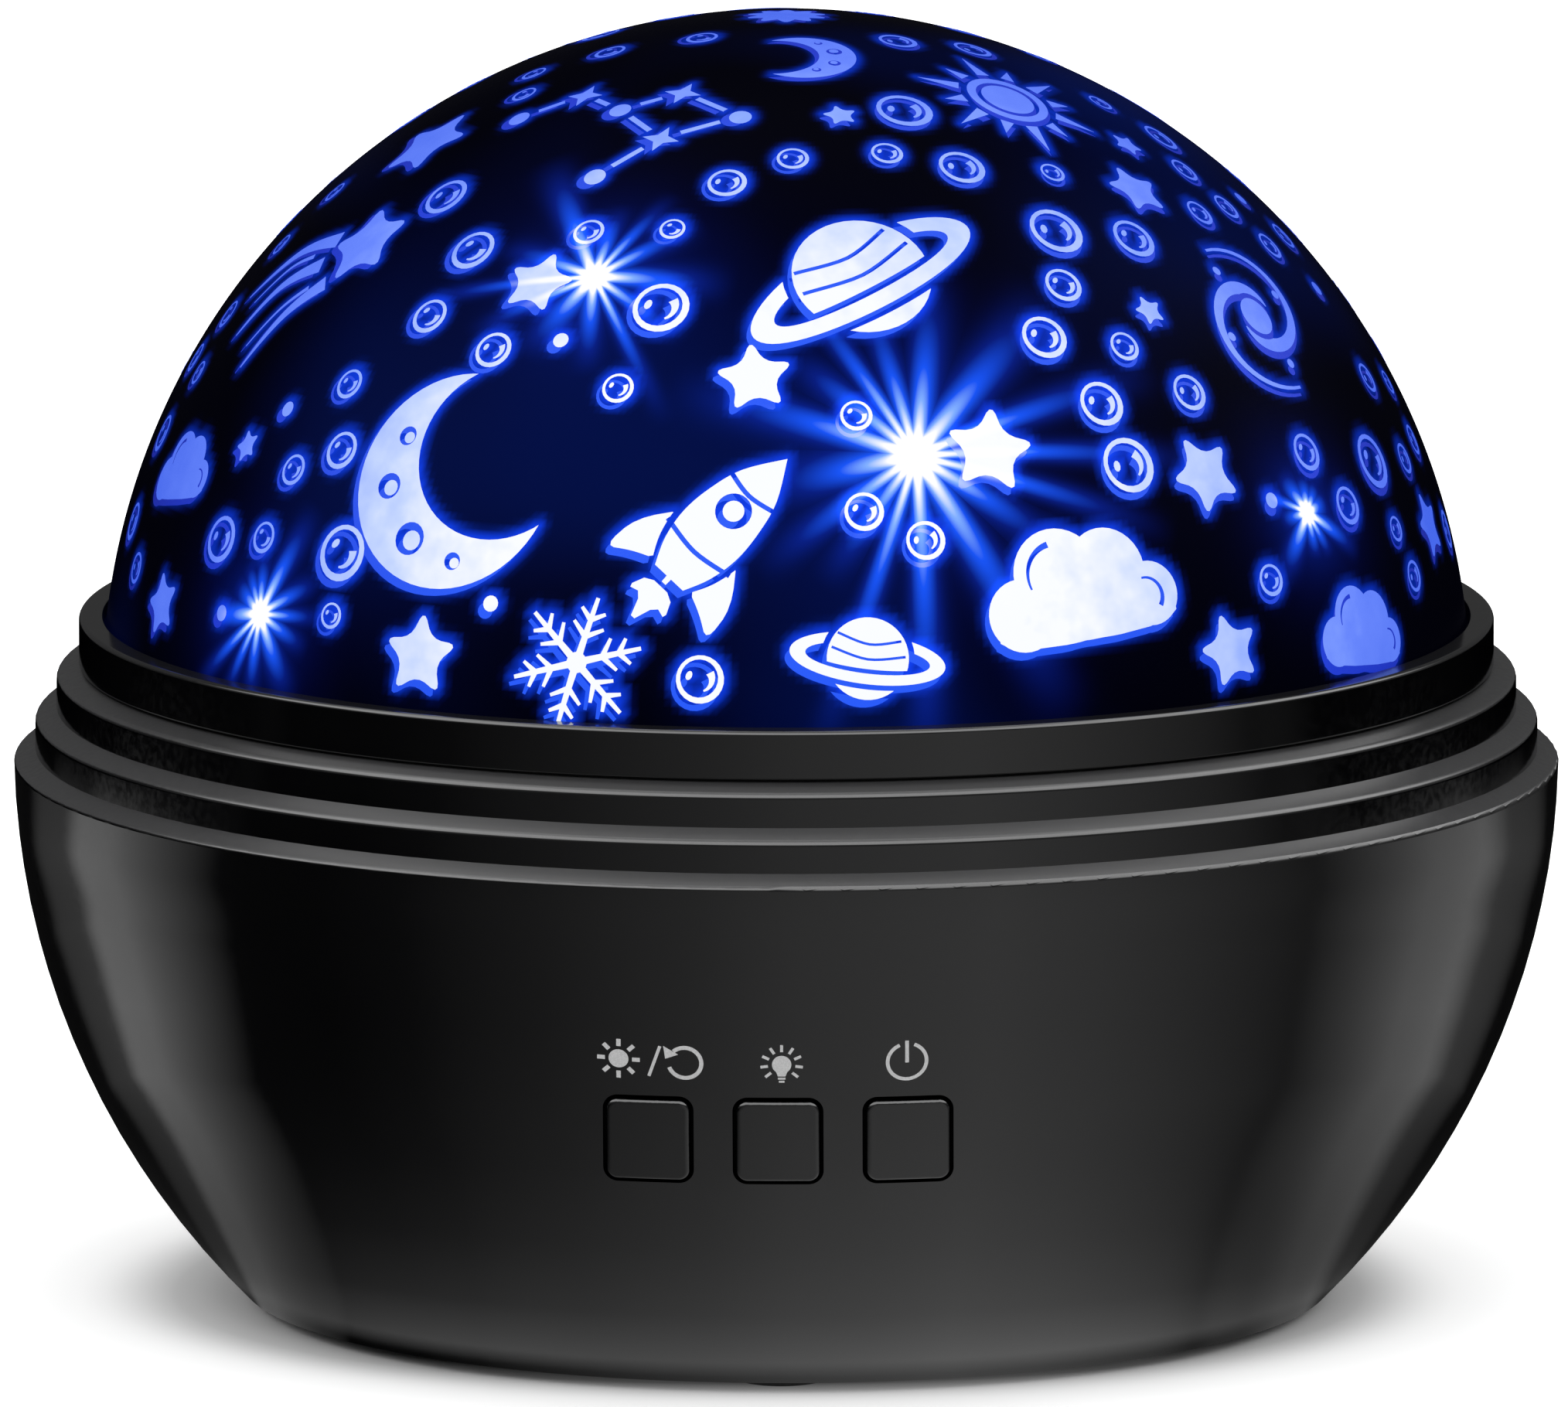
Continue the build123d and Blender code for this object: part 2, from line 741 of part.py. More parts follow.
with BuildPart() as board_screws:
    with BuildSketch(front_plane(board_back)):
        with Locations((-board_post_x, button_z), (board_post_x, button_z)):
            Circle(board_head_r)
    extrude(amount=-board_head_height)
    with BuildSketch(front_plane(board_back)):
        with Locations((-board_post_x, button_z), (board_post_x, button_z)):
            Circle(board_screw_r)
    extrude(amount=board_thick + board_screw_bite)
board_screws.part.label = "board_screws"
export_step(board_screws.part, "parts/board_screws.step")

# ------------------------------------------------------------------ power inlet

with BuildPart() as power_inlet:
    with BuildSketch(back_plane(inlet_board_face)):
        with Locations((0, inlet_z)):
            RectangleRounded(inlet_body_width, inlet_body_height, inlet_recess)
    extrude(amount=-inlet_body_length)
    with BuildSketch(back_plane(inlet_front)):
        with Locations((0, inlet_z)):
            Circle(inlet_nose_r)
    extrude(amount=-(inlet_mouth - inlet_front))
    with BuildSketch(back_plane(inlet_mouth)):
        with Locations((0, inlet_z)):
            Circle(inlet_bore_r)
    extrude(amount=inlet_bore_depth, mode=Mode.SUBTRACT)
power_inlet.part.label = "power_inlet"
export_step(power_inlet.part, "parts/power_inlet.step")

with BuildPart() as inlet_pin:
    with BuildSketch(back_plane(inlet_bore_end)):
        with Locations((0, inlet_z)):
            Circle(inlet_pin_r)
    extrude(amount=-(inlet_bore_depth - inlet_pin_recess))
inlet_pin.part.label = "inlet_pin"
export_step(inlet_pin.part, "parts/inlet_pin.step")

with BuildPart() as inlet_board:
    with BuildSketch(back_plane(inlet_board_back)):
        with Locations((0, inlet_z)):
            Rectangle(inlet_board_width, inlet_board_height)
        with Locations((-inlet_post_x, inlet_z), (inlet_post_x, inlet_z)):
            Circle(board_hole_r, mode=Mode.SUBTRACT)
    extrude(amount=-board_thick)
inlet_board.part.label = "inlet_board"
export_step(inlet_board.part, "parts/inlet_board.step")

with BuildPart() as inlet_screws:
    with BuildSketch(back_plane(inlet_board_back)):
        with Locations((-inlet_post_x, inlet_z), (inlet_post_x, inlet_z)):
            Circle(board_head_r)
    extrude(amount=board_head_height)
    with BuildSketch(back_plane(inlet_board_back)):
        with Locations((-inlet_post_x, inlet_z), (inlet_post_x, inlet_z)):
            Circle(board_screw_r)
    extrude(amount=-(board_thick + board_screw_bite))
inlet_screws.part.label = "inlet_screws"
export_step(inlet_screws.part, "parts/inlet_screws.step")

# ------------------------------------------------------------------ deck and gear motor

with BuildPart() as deck_cover:
    skirt_out_r = inner_r(deck_skirt_z) - skirt_fit
    skirt_in_r = skirt_out_r - deck_skirt_thick
    with BuildSketch(Plane.XZ) as deck_profile:
        with BuildLine():
            Polyline(
                (spigot_bore_r, seat_z),
                (skirt_in_r, seat_z),
                (skirt_in_r, deck_skirt_z),
                (skirt_out_r, deck_skirt_z),
                (skirt_out_r, seat_z),
                (step_1_r, seat_z),
                (step_1_r, step_1_top),
                (step_2_r, step_2_base),
                (step_2_r, step_2_top),
                (lip_r, lip_z),
                (deck_bore_r, lip_z),
                (deck_bore_r, deck_top),
                (spigot_r + land_width, deck_top),
                (spigot_r + land_width, land_top),
                (spigot_r, land_top),
                (spigot_r, spigot_top),
                (spigot_bore_r, spigot_top),
                close=True,
            )
        make_face()
        step_edges = [(step_1_r, step_1_top), (step_2_r, step_2_top)]
        corners = [
            deck_profile.vertices().sort_by_distance((r, z))[0] for r, z in step_edges
        ]
        fillet(corners, step_round)
    revolve(axis=Axis.Z)
    # posts for the case screws
    with BuildSketch(Plane.XY.offset(flange_top)):
        with PolarLocations(post_circle_r, 4, start_angle=45):
            Circle(post_r)
    extrude(amount=seat_z - flange_top)
    with BuildSketch(Plane.XY.offset(flange_top)):
        with PolarLocations(post_circle_r, 4, start_angle=45):
            Circle(post_pilot_r)
    extrude(amount=post_pilot_depth, mode=Mode.SUBTRACT)
    # posts for the motor screws, and the hole for its shaft
    with BuildSketch(Plane.XY.offset(motor_post_z)):
        with Locations((pinion_x, -ear_reach), (pinion_x, ear_reach)):
            Circle(motor_post_r)
    extrude(amount=motor_post_height)
    with BuildSketch(Plane.XY.offset(motor_post_z)):
        with Locations((pinion_x, -ear_reach), (pinion_x, ear_reach)):
            Circle(board_pilot_r)
    extrude(amount=motor_post_height, mode=Mode.SUBTRACT)
    with BuildSketch(Plane.XY.offset(seat_z)):
        with Locations((pinion_x, 0)):
            Circle(gearbox_boss_r + boss_fit)
    extrude(amount=deck_thick, mode=Mode.SUBTRACT)
deck_cover.part.label = "deck_cover"
export_step(deck_cover.part, "parts/deck_cover.step")

with BuildPart() as gearbox_case:
    with BuildSketch(Plane.XY.offset(gearbox_base)):
        with Locations((pinion_x, 0)):
            Circle(gearbox_r)
    extrude(amount=gearbox_height)
    with BuildSketch(Plane.XY.offset(motor_post_z - ear_thick)):
        with Locations((pinion_x, 0)):
            SlotOverall(2 * ear_reach + ear_width, ear_width, rotation=90)
        with Locations((pinion_x, -ear_reach), (pinion_x, ear_reach)):
            Circle(board_hole_r, mode=Mode.SUBTRACT)
    extrude(amount=ear_thick)
    with BuildSketch(Plane.XY.offset(seat_z)):
        with Locations((pinion_x, 0)):
            Circle(gearbox_boss_r)
    extrude(amount=gearbox_boss_height)
    with Locations((pinion_x, 0, seat_z + gearbox_boss_height)):
        Hole(shaft_r + shaft_fit, depth=gearbox_boss_height + shaft_in_case)
gearbox_case.part.label = "gearbox_case"
export_step(gearbox_case.part, "parts/gearbox_case.step")

with BuildPart() as motor_can:
    with BuildSketch(Plane.XY.offset(motor_base)):
        with Locations((pinion_x, 0)):
            Circle(motor_r)
    extrude(amount=motor_height)
    chamfer(motor_can.faces().sort_by(Axis.Z)[0].edges(), motor_chamfer)
    with BuildSketch(Plane.XY.offset(motor_base)):
        with Locations((pinion_x, 0)):
            with GridLocations(0, terminal_spread, 1, 2):
                Rectangle(terminal_width, terminal_thick)
    extrude(amount=-terminal_height)
motor_can.part.label = "motor_can"
export_step(motor_can.part, "parts/motor_can.step")

with BuildPart() as motor_screws:
    with BuildSketch(Plane.XY.offset(motor_post_z - ear_thick)):
        with Locations((pinion_x, -ear_reach), (pinion_x, ear_reach)):
            Circle(board_head_r)
    extrude(amount=-board_head_height)
    with BuildSketch(Plane.XY.offset(motor_post_z - ear_thick)):
        with Locations((pinion_x, -ear_reach), (pinion_x, ear_reach)):
            Circle(board_screw_r)
    extrude(amount=ear_thick + motor_post_height - pilot_spare)
motor_screws.part.label = "motor_screws"
export_step(motor_screws.part, "parts/motor_screws.step")

with BuildPart() as motor_shaft:
    shaft_base = seat_z - shaft_in_case
    with BuildSketch(Plane.XY.offset(shaft_base)):
        with Locations((pinion_x, 0)):
            Circle(shaft_r)
    extrude(amount=pinion_top - shaft_base)
    flat_z = gear_base - pinion_hub_height
    with BuildSketch(Plane.XY.offset(flat_z)):
        with Locations((pinion_x + 2 * shaft_r - shaft_flat, 0)):
            Rectangle(2 * shaft_r, 2 * shaft_r)
    extrude(amount=pinion_top - flat_z, mode=Mode.SUBTRACT)
motor_shaft.part.label = "motor_shaft"
export_step(motor_shaft.part, "parts/motor_shaft.step")

with BuildPart() as drive_pinion:
    with BuildSketch(Plane((pinion_x, 0, gear_base), x_dir=(1, 0, 0), z_dir=(0, 0, 1))):
        with BuildLine():
            gear_lobes(
                pinion_teeth,
                pinion_pitch_r - dedendum,
                pinion_pitch_r + gear_module,
                -backlash,
            )
        make_face()
    extrude(amount=pinion_top - gear_base)
    with BuildSketch(Plane.XY.offset(gear_base)):
        with Locations((pinion_x, 0)):
            Circle(pinion_hub_r)
    extrude(amount=-pinion_hub_height)
    with BuildSketch(Plane.XY.offset(flat_z)):
        with Locations((pinion_x, 0)):
            Circle(shaft_r + shaft_fit)
        with Locations((pinion_x + 2 * shaft_r - shaft_flat + shaft_fit, 0)):
            Rectangle(2 * shaft_r, 3 * shaft_r, mode=Mode.SUBTRACT)
    extrude(amount=pinion_top - flat_z, mode=Mode.SUBTRACT)
drive_pinion.part.label = "drive_pinion"
export_step(drive_pinion.part, "parts/drive_pinion.step")

# ------------------------------------------------------------------ turntable

with BuildPart() as turntable:
    with BuildSketch(Plane.XZ):
        with BuildLine():
            Polyline(
                (hub_bore_r, hub_base),
                (hub_r, hub_base),
                (hub_r, web_under),
                (table_skirt_in_r, web_under),
                (table_skirt_in_r, deck_top + table_skirt_float),
                (table_skirt_r, deck_top + table_skirt_float),
                (table_skirt_r, table_top),
                (hub_r, table_top),
                (hub_r, hub_top),
                (hub_bore_r, hub_top),
                close=True,
            )
        make_face()
    revolve(axis=Axis.Z)
    # stiffening ribs outside the ring gear
    rib_length = table_skirt_in_r - ring_outer_r
    with BuildSketch(Plane.XY.offset(web_under - rib_drop)):
        with PolarLocations(ring_outer_r + rib_length / 2, rib_count):
            Rectangle(rib_length - table_skirt_gap, rib_thick)
    extrude(amount=rib_drop)
    # pegs that hold the ring gear, and lugs that turn the film cap
    with BuildSketch(Plane.XY.offset(gear_base + peg_short)):
        with PolarLocations(peg_circle_r, peg_count, start_angle=180 / peg_count):
            Circle(peg_r)
    extrude(amount=web_under - gear_base - peg_short)
    with BuildSketch(Plane.XY.offset(table_top)):
        with PolarLocations(lug_circle_r, lug_count):
            Rectangle(lug_thick, lug_length)
    extrude(amount=lug_height)
turntable.part.label = "turntable"
export_step(turntable.part, "parts/turntable.step")

with BuildPart() as ring_gear:
    with BuildSketch(Plane.XY.offset(gear_base)):
        Circle(ring_outer_r)
        with BuildLine():
            gear_lobes(
                ring_teeth,
                ring_pitch_r - ring_addendum,
                ring_root_r,
                backlash,
            )
        make_face(mode=Mode.SUBTRACT)
        with PolarLocations(peg_circle_r, peg_count, start_angle=180 / peg_count):
            Circle(peg_r + peg_fit, mode=Mode.SUBTRACT)
    extrude(amount=web_under - gear_base)
ring_gear.part.label = "ring_gear"
export_step(ring_gear.part, "parts/ring_gear.step")

# ------------------------------------------------------------------ lamp

with BuildPart() as lamp_holder:
    with BuildSketch(Plane.XZ):
        with BuildLine():
            Polyline(
                (lamp_wire_bore_r, spigot_top - plug_depth),
                (spigot_bore_r - plug_fit, spigot_top - plug_depth),
                (spigot_bore_r - plug_fit, spigot_top),
                (retainer_r, spigot_top),
                (retainer_r, spigot_top + retainer_thick),
                (column_r, spigot_top + retainer_thick),
                (column_r, platform_z),
                (lens_r, platform_z),
                (lens_r, lens_base),
                (platform_r, lens_base),
                (platform_r, led_board_z),
                (lamp_wire_bore_r, led_board_z),
                close=True,
            )
        make_face()
    revolve(axis=Axis.Z)
lamp_holder.part.label = "lamp_holder"
export_step(lamp_holder.part, "parts/lamp_holder.step")

with BuildPart() as led_board:
    with BuildSketch(Plane.XY.offset(led_board_z)):
        Circle(platform_r - led_board_fit)
    extrude(amount=led_board_thick)
led_board.part.label = "led_board"
export_step(led_board.part, "parts/led_board.step")

led_names = ("led_warm", "led_red", "led_green", "led_blue")
for led_name, place in zip(led_names, GridLocations(led_spread, led_spread, 2, 2)):
    x, y, _ = place.position
    with BuildPart() as led:
        with BuildSketch(Plane((x, y, 0), x_dir=(1, 0, 0), z_dir=(0, -1, 0))):
            with BuildLine():
                led_shoulder = led_board_top + led_height
                Polyline(
                    (0, led_shoulder + led_r),
                    (0, led_board_top),
                    (led_rim_r, led_board_top),
                    (led_rim_r, led_board_top + led_rim_height),
                    (led_r, led_board_top + led_rim_height),
                    (led_r, led_shoulder),
                )
                ThreePointArc(
                    (led_r, led_shoulder),
                    (led_r * sin(pi / 4), led_shoulder + led_r * cos(pi / 4)),
                    (0, led_shoulder + led_r),
                )
            make_face()
        revolve(axis=Axis((x, y, 0), (0, 0, 1)))
    led.part.label = led_name
    export_step(led.part, f"parts/{led_name}.step")

with BuildPart() as lens_cap:
    lens_inner_r = lens_r - lens_wall
    with BuildSketch(Plane.XZ):
        with BuildLine():
            Polyline(
                (lens_inner_r, lens_centre_z),
                (lens_inner_r, lens_base),
                (lens_r, lens_base),
                (lens_r, lens_centre_z),
            )
            ThreePointArc(
                (lens_r, lens_centre_z),
                (lens_r * sin(pi / 4), lens_centre_z + lens_r * cos(pi / 4)),
                (0, lens_centre_z + lens_r),
            )
            Line((0, lens_centre_z + lens_r), (0, lens_centre_z + lens_inner_r))
            ThreePointArc(
                (0, lens_centre_z + lens_inner_r),
                (lens_inner_r * sin(pi / 4), lens_centre_z + lens_inner_r * cos(pi / 4)),
                (lens_inner_r, lens_centre_z),
            )
        make_face()
    revolve(axis=Axis.Z)
lens_cap.part.label = "lens_cap"
export_step(lens_cap.part, "parts/lens_cap.step")

# ------------------------------------------------------------------ film cap


def dome_r(z, inset):
    """Radius of the dome, or of the sphere a little inside it, at height z."""
    return sqrt((dome_radius - inset) ** 2 - (z - dome_centre_z) ** 2)


with BuildPart() as film_dome:
    outer_mid_z = dome_centre_z + dome_radius * sin(pi / 4)
    inner_mid_z = dome_centre_z + (dome_radius - dome_thick) * sin(pi / 4)
    with BuildSketch(Plane.XZ):
        with BuildLine():
            ThreePointArc(
                (dome_r(film_flange_top, 0), film_flange_top),
                (dome_r(outer_mid_z, 0), outer_mid_z),
                (0, dome_centre_z + dome_radius),
            )
            Line(
                (0, dome_centre_z + dome_radius),
                (0, dome_centre_z + dome_radius - dome_thick),
            )
            ThreePointArc(
                (0, dome_centre_z + dome_radius - dome_thick),
                (dome_r(inner_mid_z, dome_thick), inner_mid_z),
                (dome_r(clamp_top, dome_thick), clamp_top),
            )
            Polyline(
                (dome_r(clamp_top, dome_thick), clamp_top),
                (film_edge_r, clamp_top),
                (film_edge_r, film_flange_top),
                (dome_r(film_flange_top, 0), film_flange_top),
            )
        make_face()
    revolve(axis=Axis.Z)
film_dome.part.label = "film_dome"
export_step(film_dome.part, "parts/film_dome.step")

with BuildPart() as collar_ring:
    collar_lip_r = dome_r(film_flange_top, 0) + dome_fit
    with BuildSketch(Plane.XZ) as collar_profile:
        with BuildLine():
            Polyline(
                (collar_bore_r, table_top),
                (collar_r, table_top),
                (collar_r, collar_top),
                (collar_lip_r, collar_top),
                (collar_lip_r, film_flange_top),
                (collar_bore_r, film_flange_top),
                close=True,
            )
        make_face()
        fillet(
            collar_profile.vertices().sort_by_distance((collar_r, collar_top))[0],
            collar_round,
        )
    revolve(axis=Axis.Z)
collar_ring.part.label = "collar_ring"
export_step(collar_ring.part, "parts/collar_ring.step")

with BuildPart() as clamp_ring:
    with BuildSketch(Plane.XY.offset(clamp_base)):
        Circle(film_edge_r)
        Circle(clamp_inner_r, mode=Mode.SUBTRACT)
        with PolarLocations(lug_circle_r - lug_fit, lug_count):
            Rectangle(
                lug_thick + 4 * lug_fit,
                lug_length + 2 * lug_fit,
                mode=Mode.SUBTRACT,
            )
    extrude(amount=clamp_top - clamp_base)
clamp_ring.part.label = "clamp_ring"
export_step(clamp_ring.part, "parts/clamp_ring.step")
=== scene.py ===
"""Looks of a dome night light: lit print dome, gloss black bowl, key symbols, screws, works and stage."""

import json
import math

import bmesh
import bpy
import numpy as np
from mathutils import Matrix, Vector
from mathutils.geometry import delaunay_2d_cdt

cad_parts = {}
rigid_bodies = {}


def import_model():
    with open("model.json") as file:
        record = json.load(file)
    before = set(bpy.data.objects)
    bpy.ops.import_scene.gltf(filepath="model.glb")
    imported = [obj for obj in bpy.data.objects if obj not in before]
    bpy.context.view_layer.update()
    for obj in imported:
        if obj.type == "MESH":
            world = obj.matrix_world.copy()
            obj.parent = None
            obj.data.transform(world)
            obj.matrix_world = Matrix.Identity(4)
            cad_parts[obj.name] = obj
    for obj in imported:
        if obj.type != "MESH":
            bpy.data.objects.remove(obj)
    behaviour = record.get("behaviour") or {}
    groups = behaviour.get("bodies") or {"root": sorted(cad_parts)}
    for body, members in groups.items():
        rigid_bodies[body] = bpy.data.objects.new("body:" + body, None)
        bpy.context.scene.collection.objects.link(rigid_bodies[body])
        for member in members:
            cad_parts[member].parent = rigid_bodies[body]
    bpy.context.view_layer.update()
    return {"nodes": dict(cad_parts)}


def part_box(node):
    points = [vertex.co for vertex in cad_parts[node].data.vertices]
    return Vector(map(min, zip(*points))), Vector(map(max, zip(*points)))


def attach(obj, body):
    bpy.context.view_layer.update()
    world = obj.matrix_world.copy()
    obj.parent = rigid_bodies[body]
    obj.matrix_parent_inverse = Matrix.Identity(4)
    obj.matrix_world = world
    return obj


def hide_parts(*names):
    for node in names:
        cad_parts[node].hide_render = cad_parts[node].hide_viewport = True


bl_info = {
    "name": "Dome night light looks",
    "version": (1, 0, 0),
    "blender": (4, 5, 0),
    "location": "3D View > Sidebar > Night light",
    "description": "Dresses the packed dome night light and sets its stage",
    "category": "Object",
}

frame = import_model()

MM = 0.001
TAB = "Night light"
CLOUDS = 300.0  # cloudy patches of a moulded surface, to the metre
SCREW_COLUMNS = 20
# Specular level of the polished black, and the lower one of its painted dull shade inside the bowl's ball
GLOSS_SPECULAR, SUNK_SPECULAR = 0.8, 0.1
DECK_HEIGHT, COLLAR_HEIGHT = 44 * MM, 55 * MM
CELL_LENGTH = 44.5 * MM


def screen(red, green, blue):
    """A colour given in screen values from 0 to 255, as the linear colour that shaders take."""
    parts = []
    for value in (red, green, blue):
        part = value / 255
        parts.append(part / 12.92 if part <= 0.04045 else ((part + 0.055) / 1.055) ** 2.4)
    return (*parts, 1.0)


# Sizes and colours


class DomeSettings(bpy.types.PropertyGroup):
    """The film dome and the light in it."""

    radius: bpy.props.FloatProperty(
        name="Radius",
        description="Outside radius of the film dome, under the prints",
        default=57.54 * MM,
        unit="LENGTH",
    )
    centre_height: bpy.props.FloatProperty(
        name="Centre height",
        description="Height of the dome's centre over the table",
        default=51.37 * MM,
        unit="LENGTH",
    )
    thickness: bpy.props.FloatProperty(
        name="Film thickness",
        description="Wall of the formed film",
        default=0.74 * MM,
        unit="LENGTH",
    )
    flange_radius: bpy.props.FloatProperty(
        name="Flange radius",
        description="Outer edge of the flange that the collar grips",
        default=58.25 * MM,
        unit="LENGTH",
    )
    flange_bottom: bpy.props.FloatProperty(
        name="Flange underside",
        description="Height of the flange's underside",
        default=56.39 * MM,
        unit="LENGTH",
    )
    flange_top: bpy.props.FloatProperty(
        name="Flange top",
        description="Height of the flange's top",
        default=56.95 * MM,
        unit="LENGTH",
    )
    columns: bpy.props.IntProperty(
        name="Columns",
        description="Faces round the dome",
        default=560,
        min=64,
    )
    rows: bpy.props.IntProperty(
        name="Rows",
        description="Faces from the flange up to the pole",
        default=128,
        min=16,
    )
    halo_reach: bpy.props.FloatProperty(
        name="Halo reach",
        description="How far the light of a print spreads into the film round it",
        default=0.55 * MM,
        unit="LENGTH",
    )
    film_colour: bpy.props.FloatVectorProperty(
        name="Film",
        description="Deep blue of the lighter patches of the printed film",
        size=4,
        subtype="COLOR",
        default=screen(2, 14, 66),
    )
    halo_colour: bpy.props.FloatVectorProperty(
        name="Halo",
        description="Blue of the light that spreads round a print",
        size=4,
        subtype="COLOR",
        default=screen(14, 60, 226),
    )


class PrintSettings(bpy.types.PropertyGroup):
    """The translucent night-sky prints on the dome."""

    ink_height: bpy.props.FloatProperty(
        name="Ink height",
        description="Top of the ink over the film",
        default=0.045 * MM,
        unit="LENGTH",
    )
    ink_thickness: bpy.props.FloatProperty(
        name="Ink thickness",
        description="Thickness of one ink layer",
        default=0.012 * MM,
        unit="LENGTH",
    )
    shade_height: bpy.props.FloatProperty(
        name="Shade height",
        description="Top of the blue shade layer over the film",
        default=0.022 * MM,
        unit="LENGTH",
    )
    shade_shift: bpy.props.FloatVectorProperty(
        name="Shade shift",
        description="How far the blue shade lies from its print, to the right and up",
        size=2,
        default=(-0.42 * MM, -0.62 * MM),
        unit="LENGTH",
    )
    scatter_count: bpy.props.IntProperty(
        name="Scattered prints",
        description="Bubbles, dots and small stars tried for on each half of the dome",
        default=76,
        min=0,
    )
    scatter_seed: bpy.props.IntProperty(
        name="Scatter seed",
        description="Seed of the scatter",
        default=11,
    )


class KeySettings(bpy.types.PropertyGroup):
    """The symbols printed over the three keys."""

    bowl_radius: bpy.props.FloatProperty(
        name="Bowl radius",
        description="Radius of the ball that the bowl's side is a part of",
        default=65 * MM,
        unit="LENGTH",
    )
    bowl_centre: bpy.props.FloatProperty(
        name="Bowl centre height",
        description="Height of the centre of that ball",
        default=47.024 * MM,
        unit="LENGTH",
    )
    row_elevation: bpy.props.FloatProperty(
        name="Row elevation",
        description="Where the row of symbols lies on that ball, against the horizontal",
        default=math.radians(-14.36),
        subtype="ANGLE",
    )
    ink_colour: bpy.props.FloatVectorProperty(
        name="Symbol ink",
        description="Light grey of the printed symbols",
        size=4,
        subtype="COLOR",
        default=screen(212, 212, 212),
    )


class StageSettings(bpy.types.PropertyGroup):
    """The camera, the floor and the light."""

    elevation: bpy.props.FloatProperty(
        name="Camera elevation",
        description="How steeply the camera looks down",
        default=math.radians(9.65),
        subtype="ANGLE",
    )
    azimuth: bpy.props.FloatProperty(
        name="Camera azimuth",
        description="How far the camera stands round to the right",
        default=math.radians(0.65),
        subtype="ANGLE",
    )
    distance: bpy.props.FloatProperty(
        name="Camera distance",
        description="From the camera to the point that it looks at",
        default=2.6,
        unit="LENGTH",
    )
    view_width: bpy.props.FloatProperty(
        name="View width",
        description="Width of the view at that point",
        default=131.94 * MM,
        unit="LENGTH",
    )
    target: bpy.props.FloatVectorProperty(
        name="Target",
        description="The point that the camera looks at",
        size=3,
        default=(-0.2 * MM, 0, 50.39 * MM),
        unit="LENGTH",
    )
    floor_size: bpy.props.FloatProperty(
        name="Floor size",
        description="Half the width of the floor",
        default=12.0,
        unit="LENGTH",
    )


class NightLightSettings(bpy.types.PropertyGroup):
    """All settings of the night light."""

    dome: bpy.props.PointerProperty(type=DomeSettings, name="Dome", description="The film dome")
    prints: bpy.props.PointerProperty(type=PrintSettings, name="Prints", description="Dome prints")
    keys: bpy.props.PointerProperty(type=KeySettings, name="Keys", description="Key symbols")
    stage: bpy.props.PointerProperty(type=StageSettings, name="Stage", description="The stage")


# Node trees


class Signal:
    """A node's output. Signs of arithmetic on it and its methods add nodes to the same tree."""

    def __init__(self, wiring, socket):
        self.wiring = wiring
        self.socket = socket

    def math(self, operation, other=0.0):
        return self.wiring.signal("ShaderNodeMath", {0: self, 1: other}, operation=operation)

    def __add__(self, other):
        return self.math("ADD", other)

    def __sub__(self, other):
        return self.math("SUBTRACT", other)

    def __rsub__(self, other):
        return self.wiring.signal("ShaderNodeMath", {0: other, 1: self}, operation="SUBTRACT")

    def __mul__(self, other):
        return self.math("MULTIPLY", other)

    def __truediv__(self, other):
        return self.math("DIVIDE", other)

    def __pow__(self, other):
        return self.math("POWER", other)

    def vector(self, operation, other=(0.0, 0.0, 0.0)):
        output = "Value" if operation in ("LENGTH", "DOT_PRODUCT") else "Vector"
        return self.wiring.signal("ShaderNodeVectorMath", {0: self, 1: other}, output, operation=operation)

    def split(self):
        """The three parts of a place."""
        parts = self.wiring.add("ShaderNodeSeparateXYZ", {0: self}).outputs
        return [Signal(self.wiring, part) for part in parts]

    def spread(self, low, high, to_low=0.0, to_high=1.0, kind="SMOOTHSTEP"):
        """The way from one bound to another, spread over two other values."""
        inputs = {0: self, 1: low, 2: high, 3: to_low, 4: to_high}
        return self.wiring.signal("ShaderNodeMapRange", inputs, interpolation_type=kind)

    def vary(self, low, high, kind="SMOOTHSTEP"):
        """Noise spread over two values, both of which its middle range reaches."""
        return self.spread(0.3, 0.7, low, high, kind)

    def ramp(self, stops, interpolation="LINEAR"):
        """A colour or a level by stops, each a place from 0 to 1 with what stands there."""
        node = self.wiring.add("ShaderNodeValToRGB", {0: self})
        band = node.color_ramp
        band.interpolation = interpolation
        while len(band.elements) < len(stops):
            band.elements.new(1.0)
        for element, (place, colour) in zip(band.elements, stops):
            element.position = place
            element.color = colour if isinstance(colour, tuple) else (colour, colour, colour, 1.0)
        return Signal(self.wiring, node.outputs[0])

    def mix(self, first, second):
        """One colour turning into another as this goes from 0 to 1."""
        return self.wiring.signal("ShaderNodeMix", {0: self, 6: first, 7: second}, 2, data_type="RGBA")

    def with_light(self, other):
        """This colour with another one's light added."""
        kind = {"data_type": "RGBA", "blend_type": "ADD"}
        return self.wiring.signal("ShaderNodeMix", {0: 1.0, 6: self, 7: other}, 2, **kind)

    def either(self, first, second):
        """One shader turning into another as this goes from 0 to 1."""
        return self.wiring.signal("ShaderNodeMixShader", {0: self, 1: first, 2: second})

    def noise(self, scale, detail=3.0, roughness=0.5):
        """Noise at this place."""
        inputs = {"Vector": self, "Scale": scale, "Detail": detail, "Roughness": roughness}
        return self.wiring.signal("ShaderNodeTexNoise", inputs)

    def bump(self, depth, strength=1.0):
        """The normals of a surface with this as its relief."""
        inputs = {"Strength": strength, "Distance": depth, "Height": self}
        return self.wiring.signal("ShaderNodeBump", inputs)


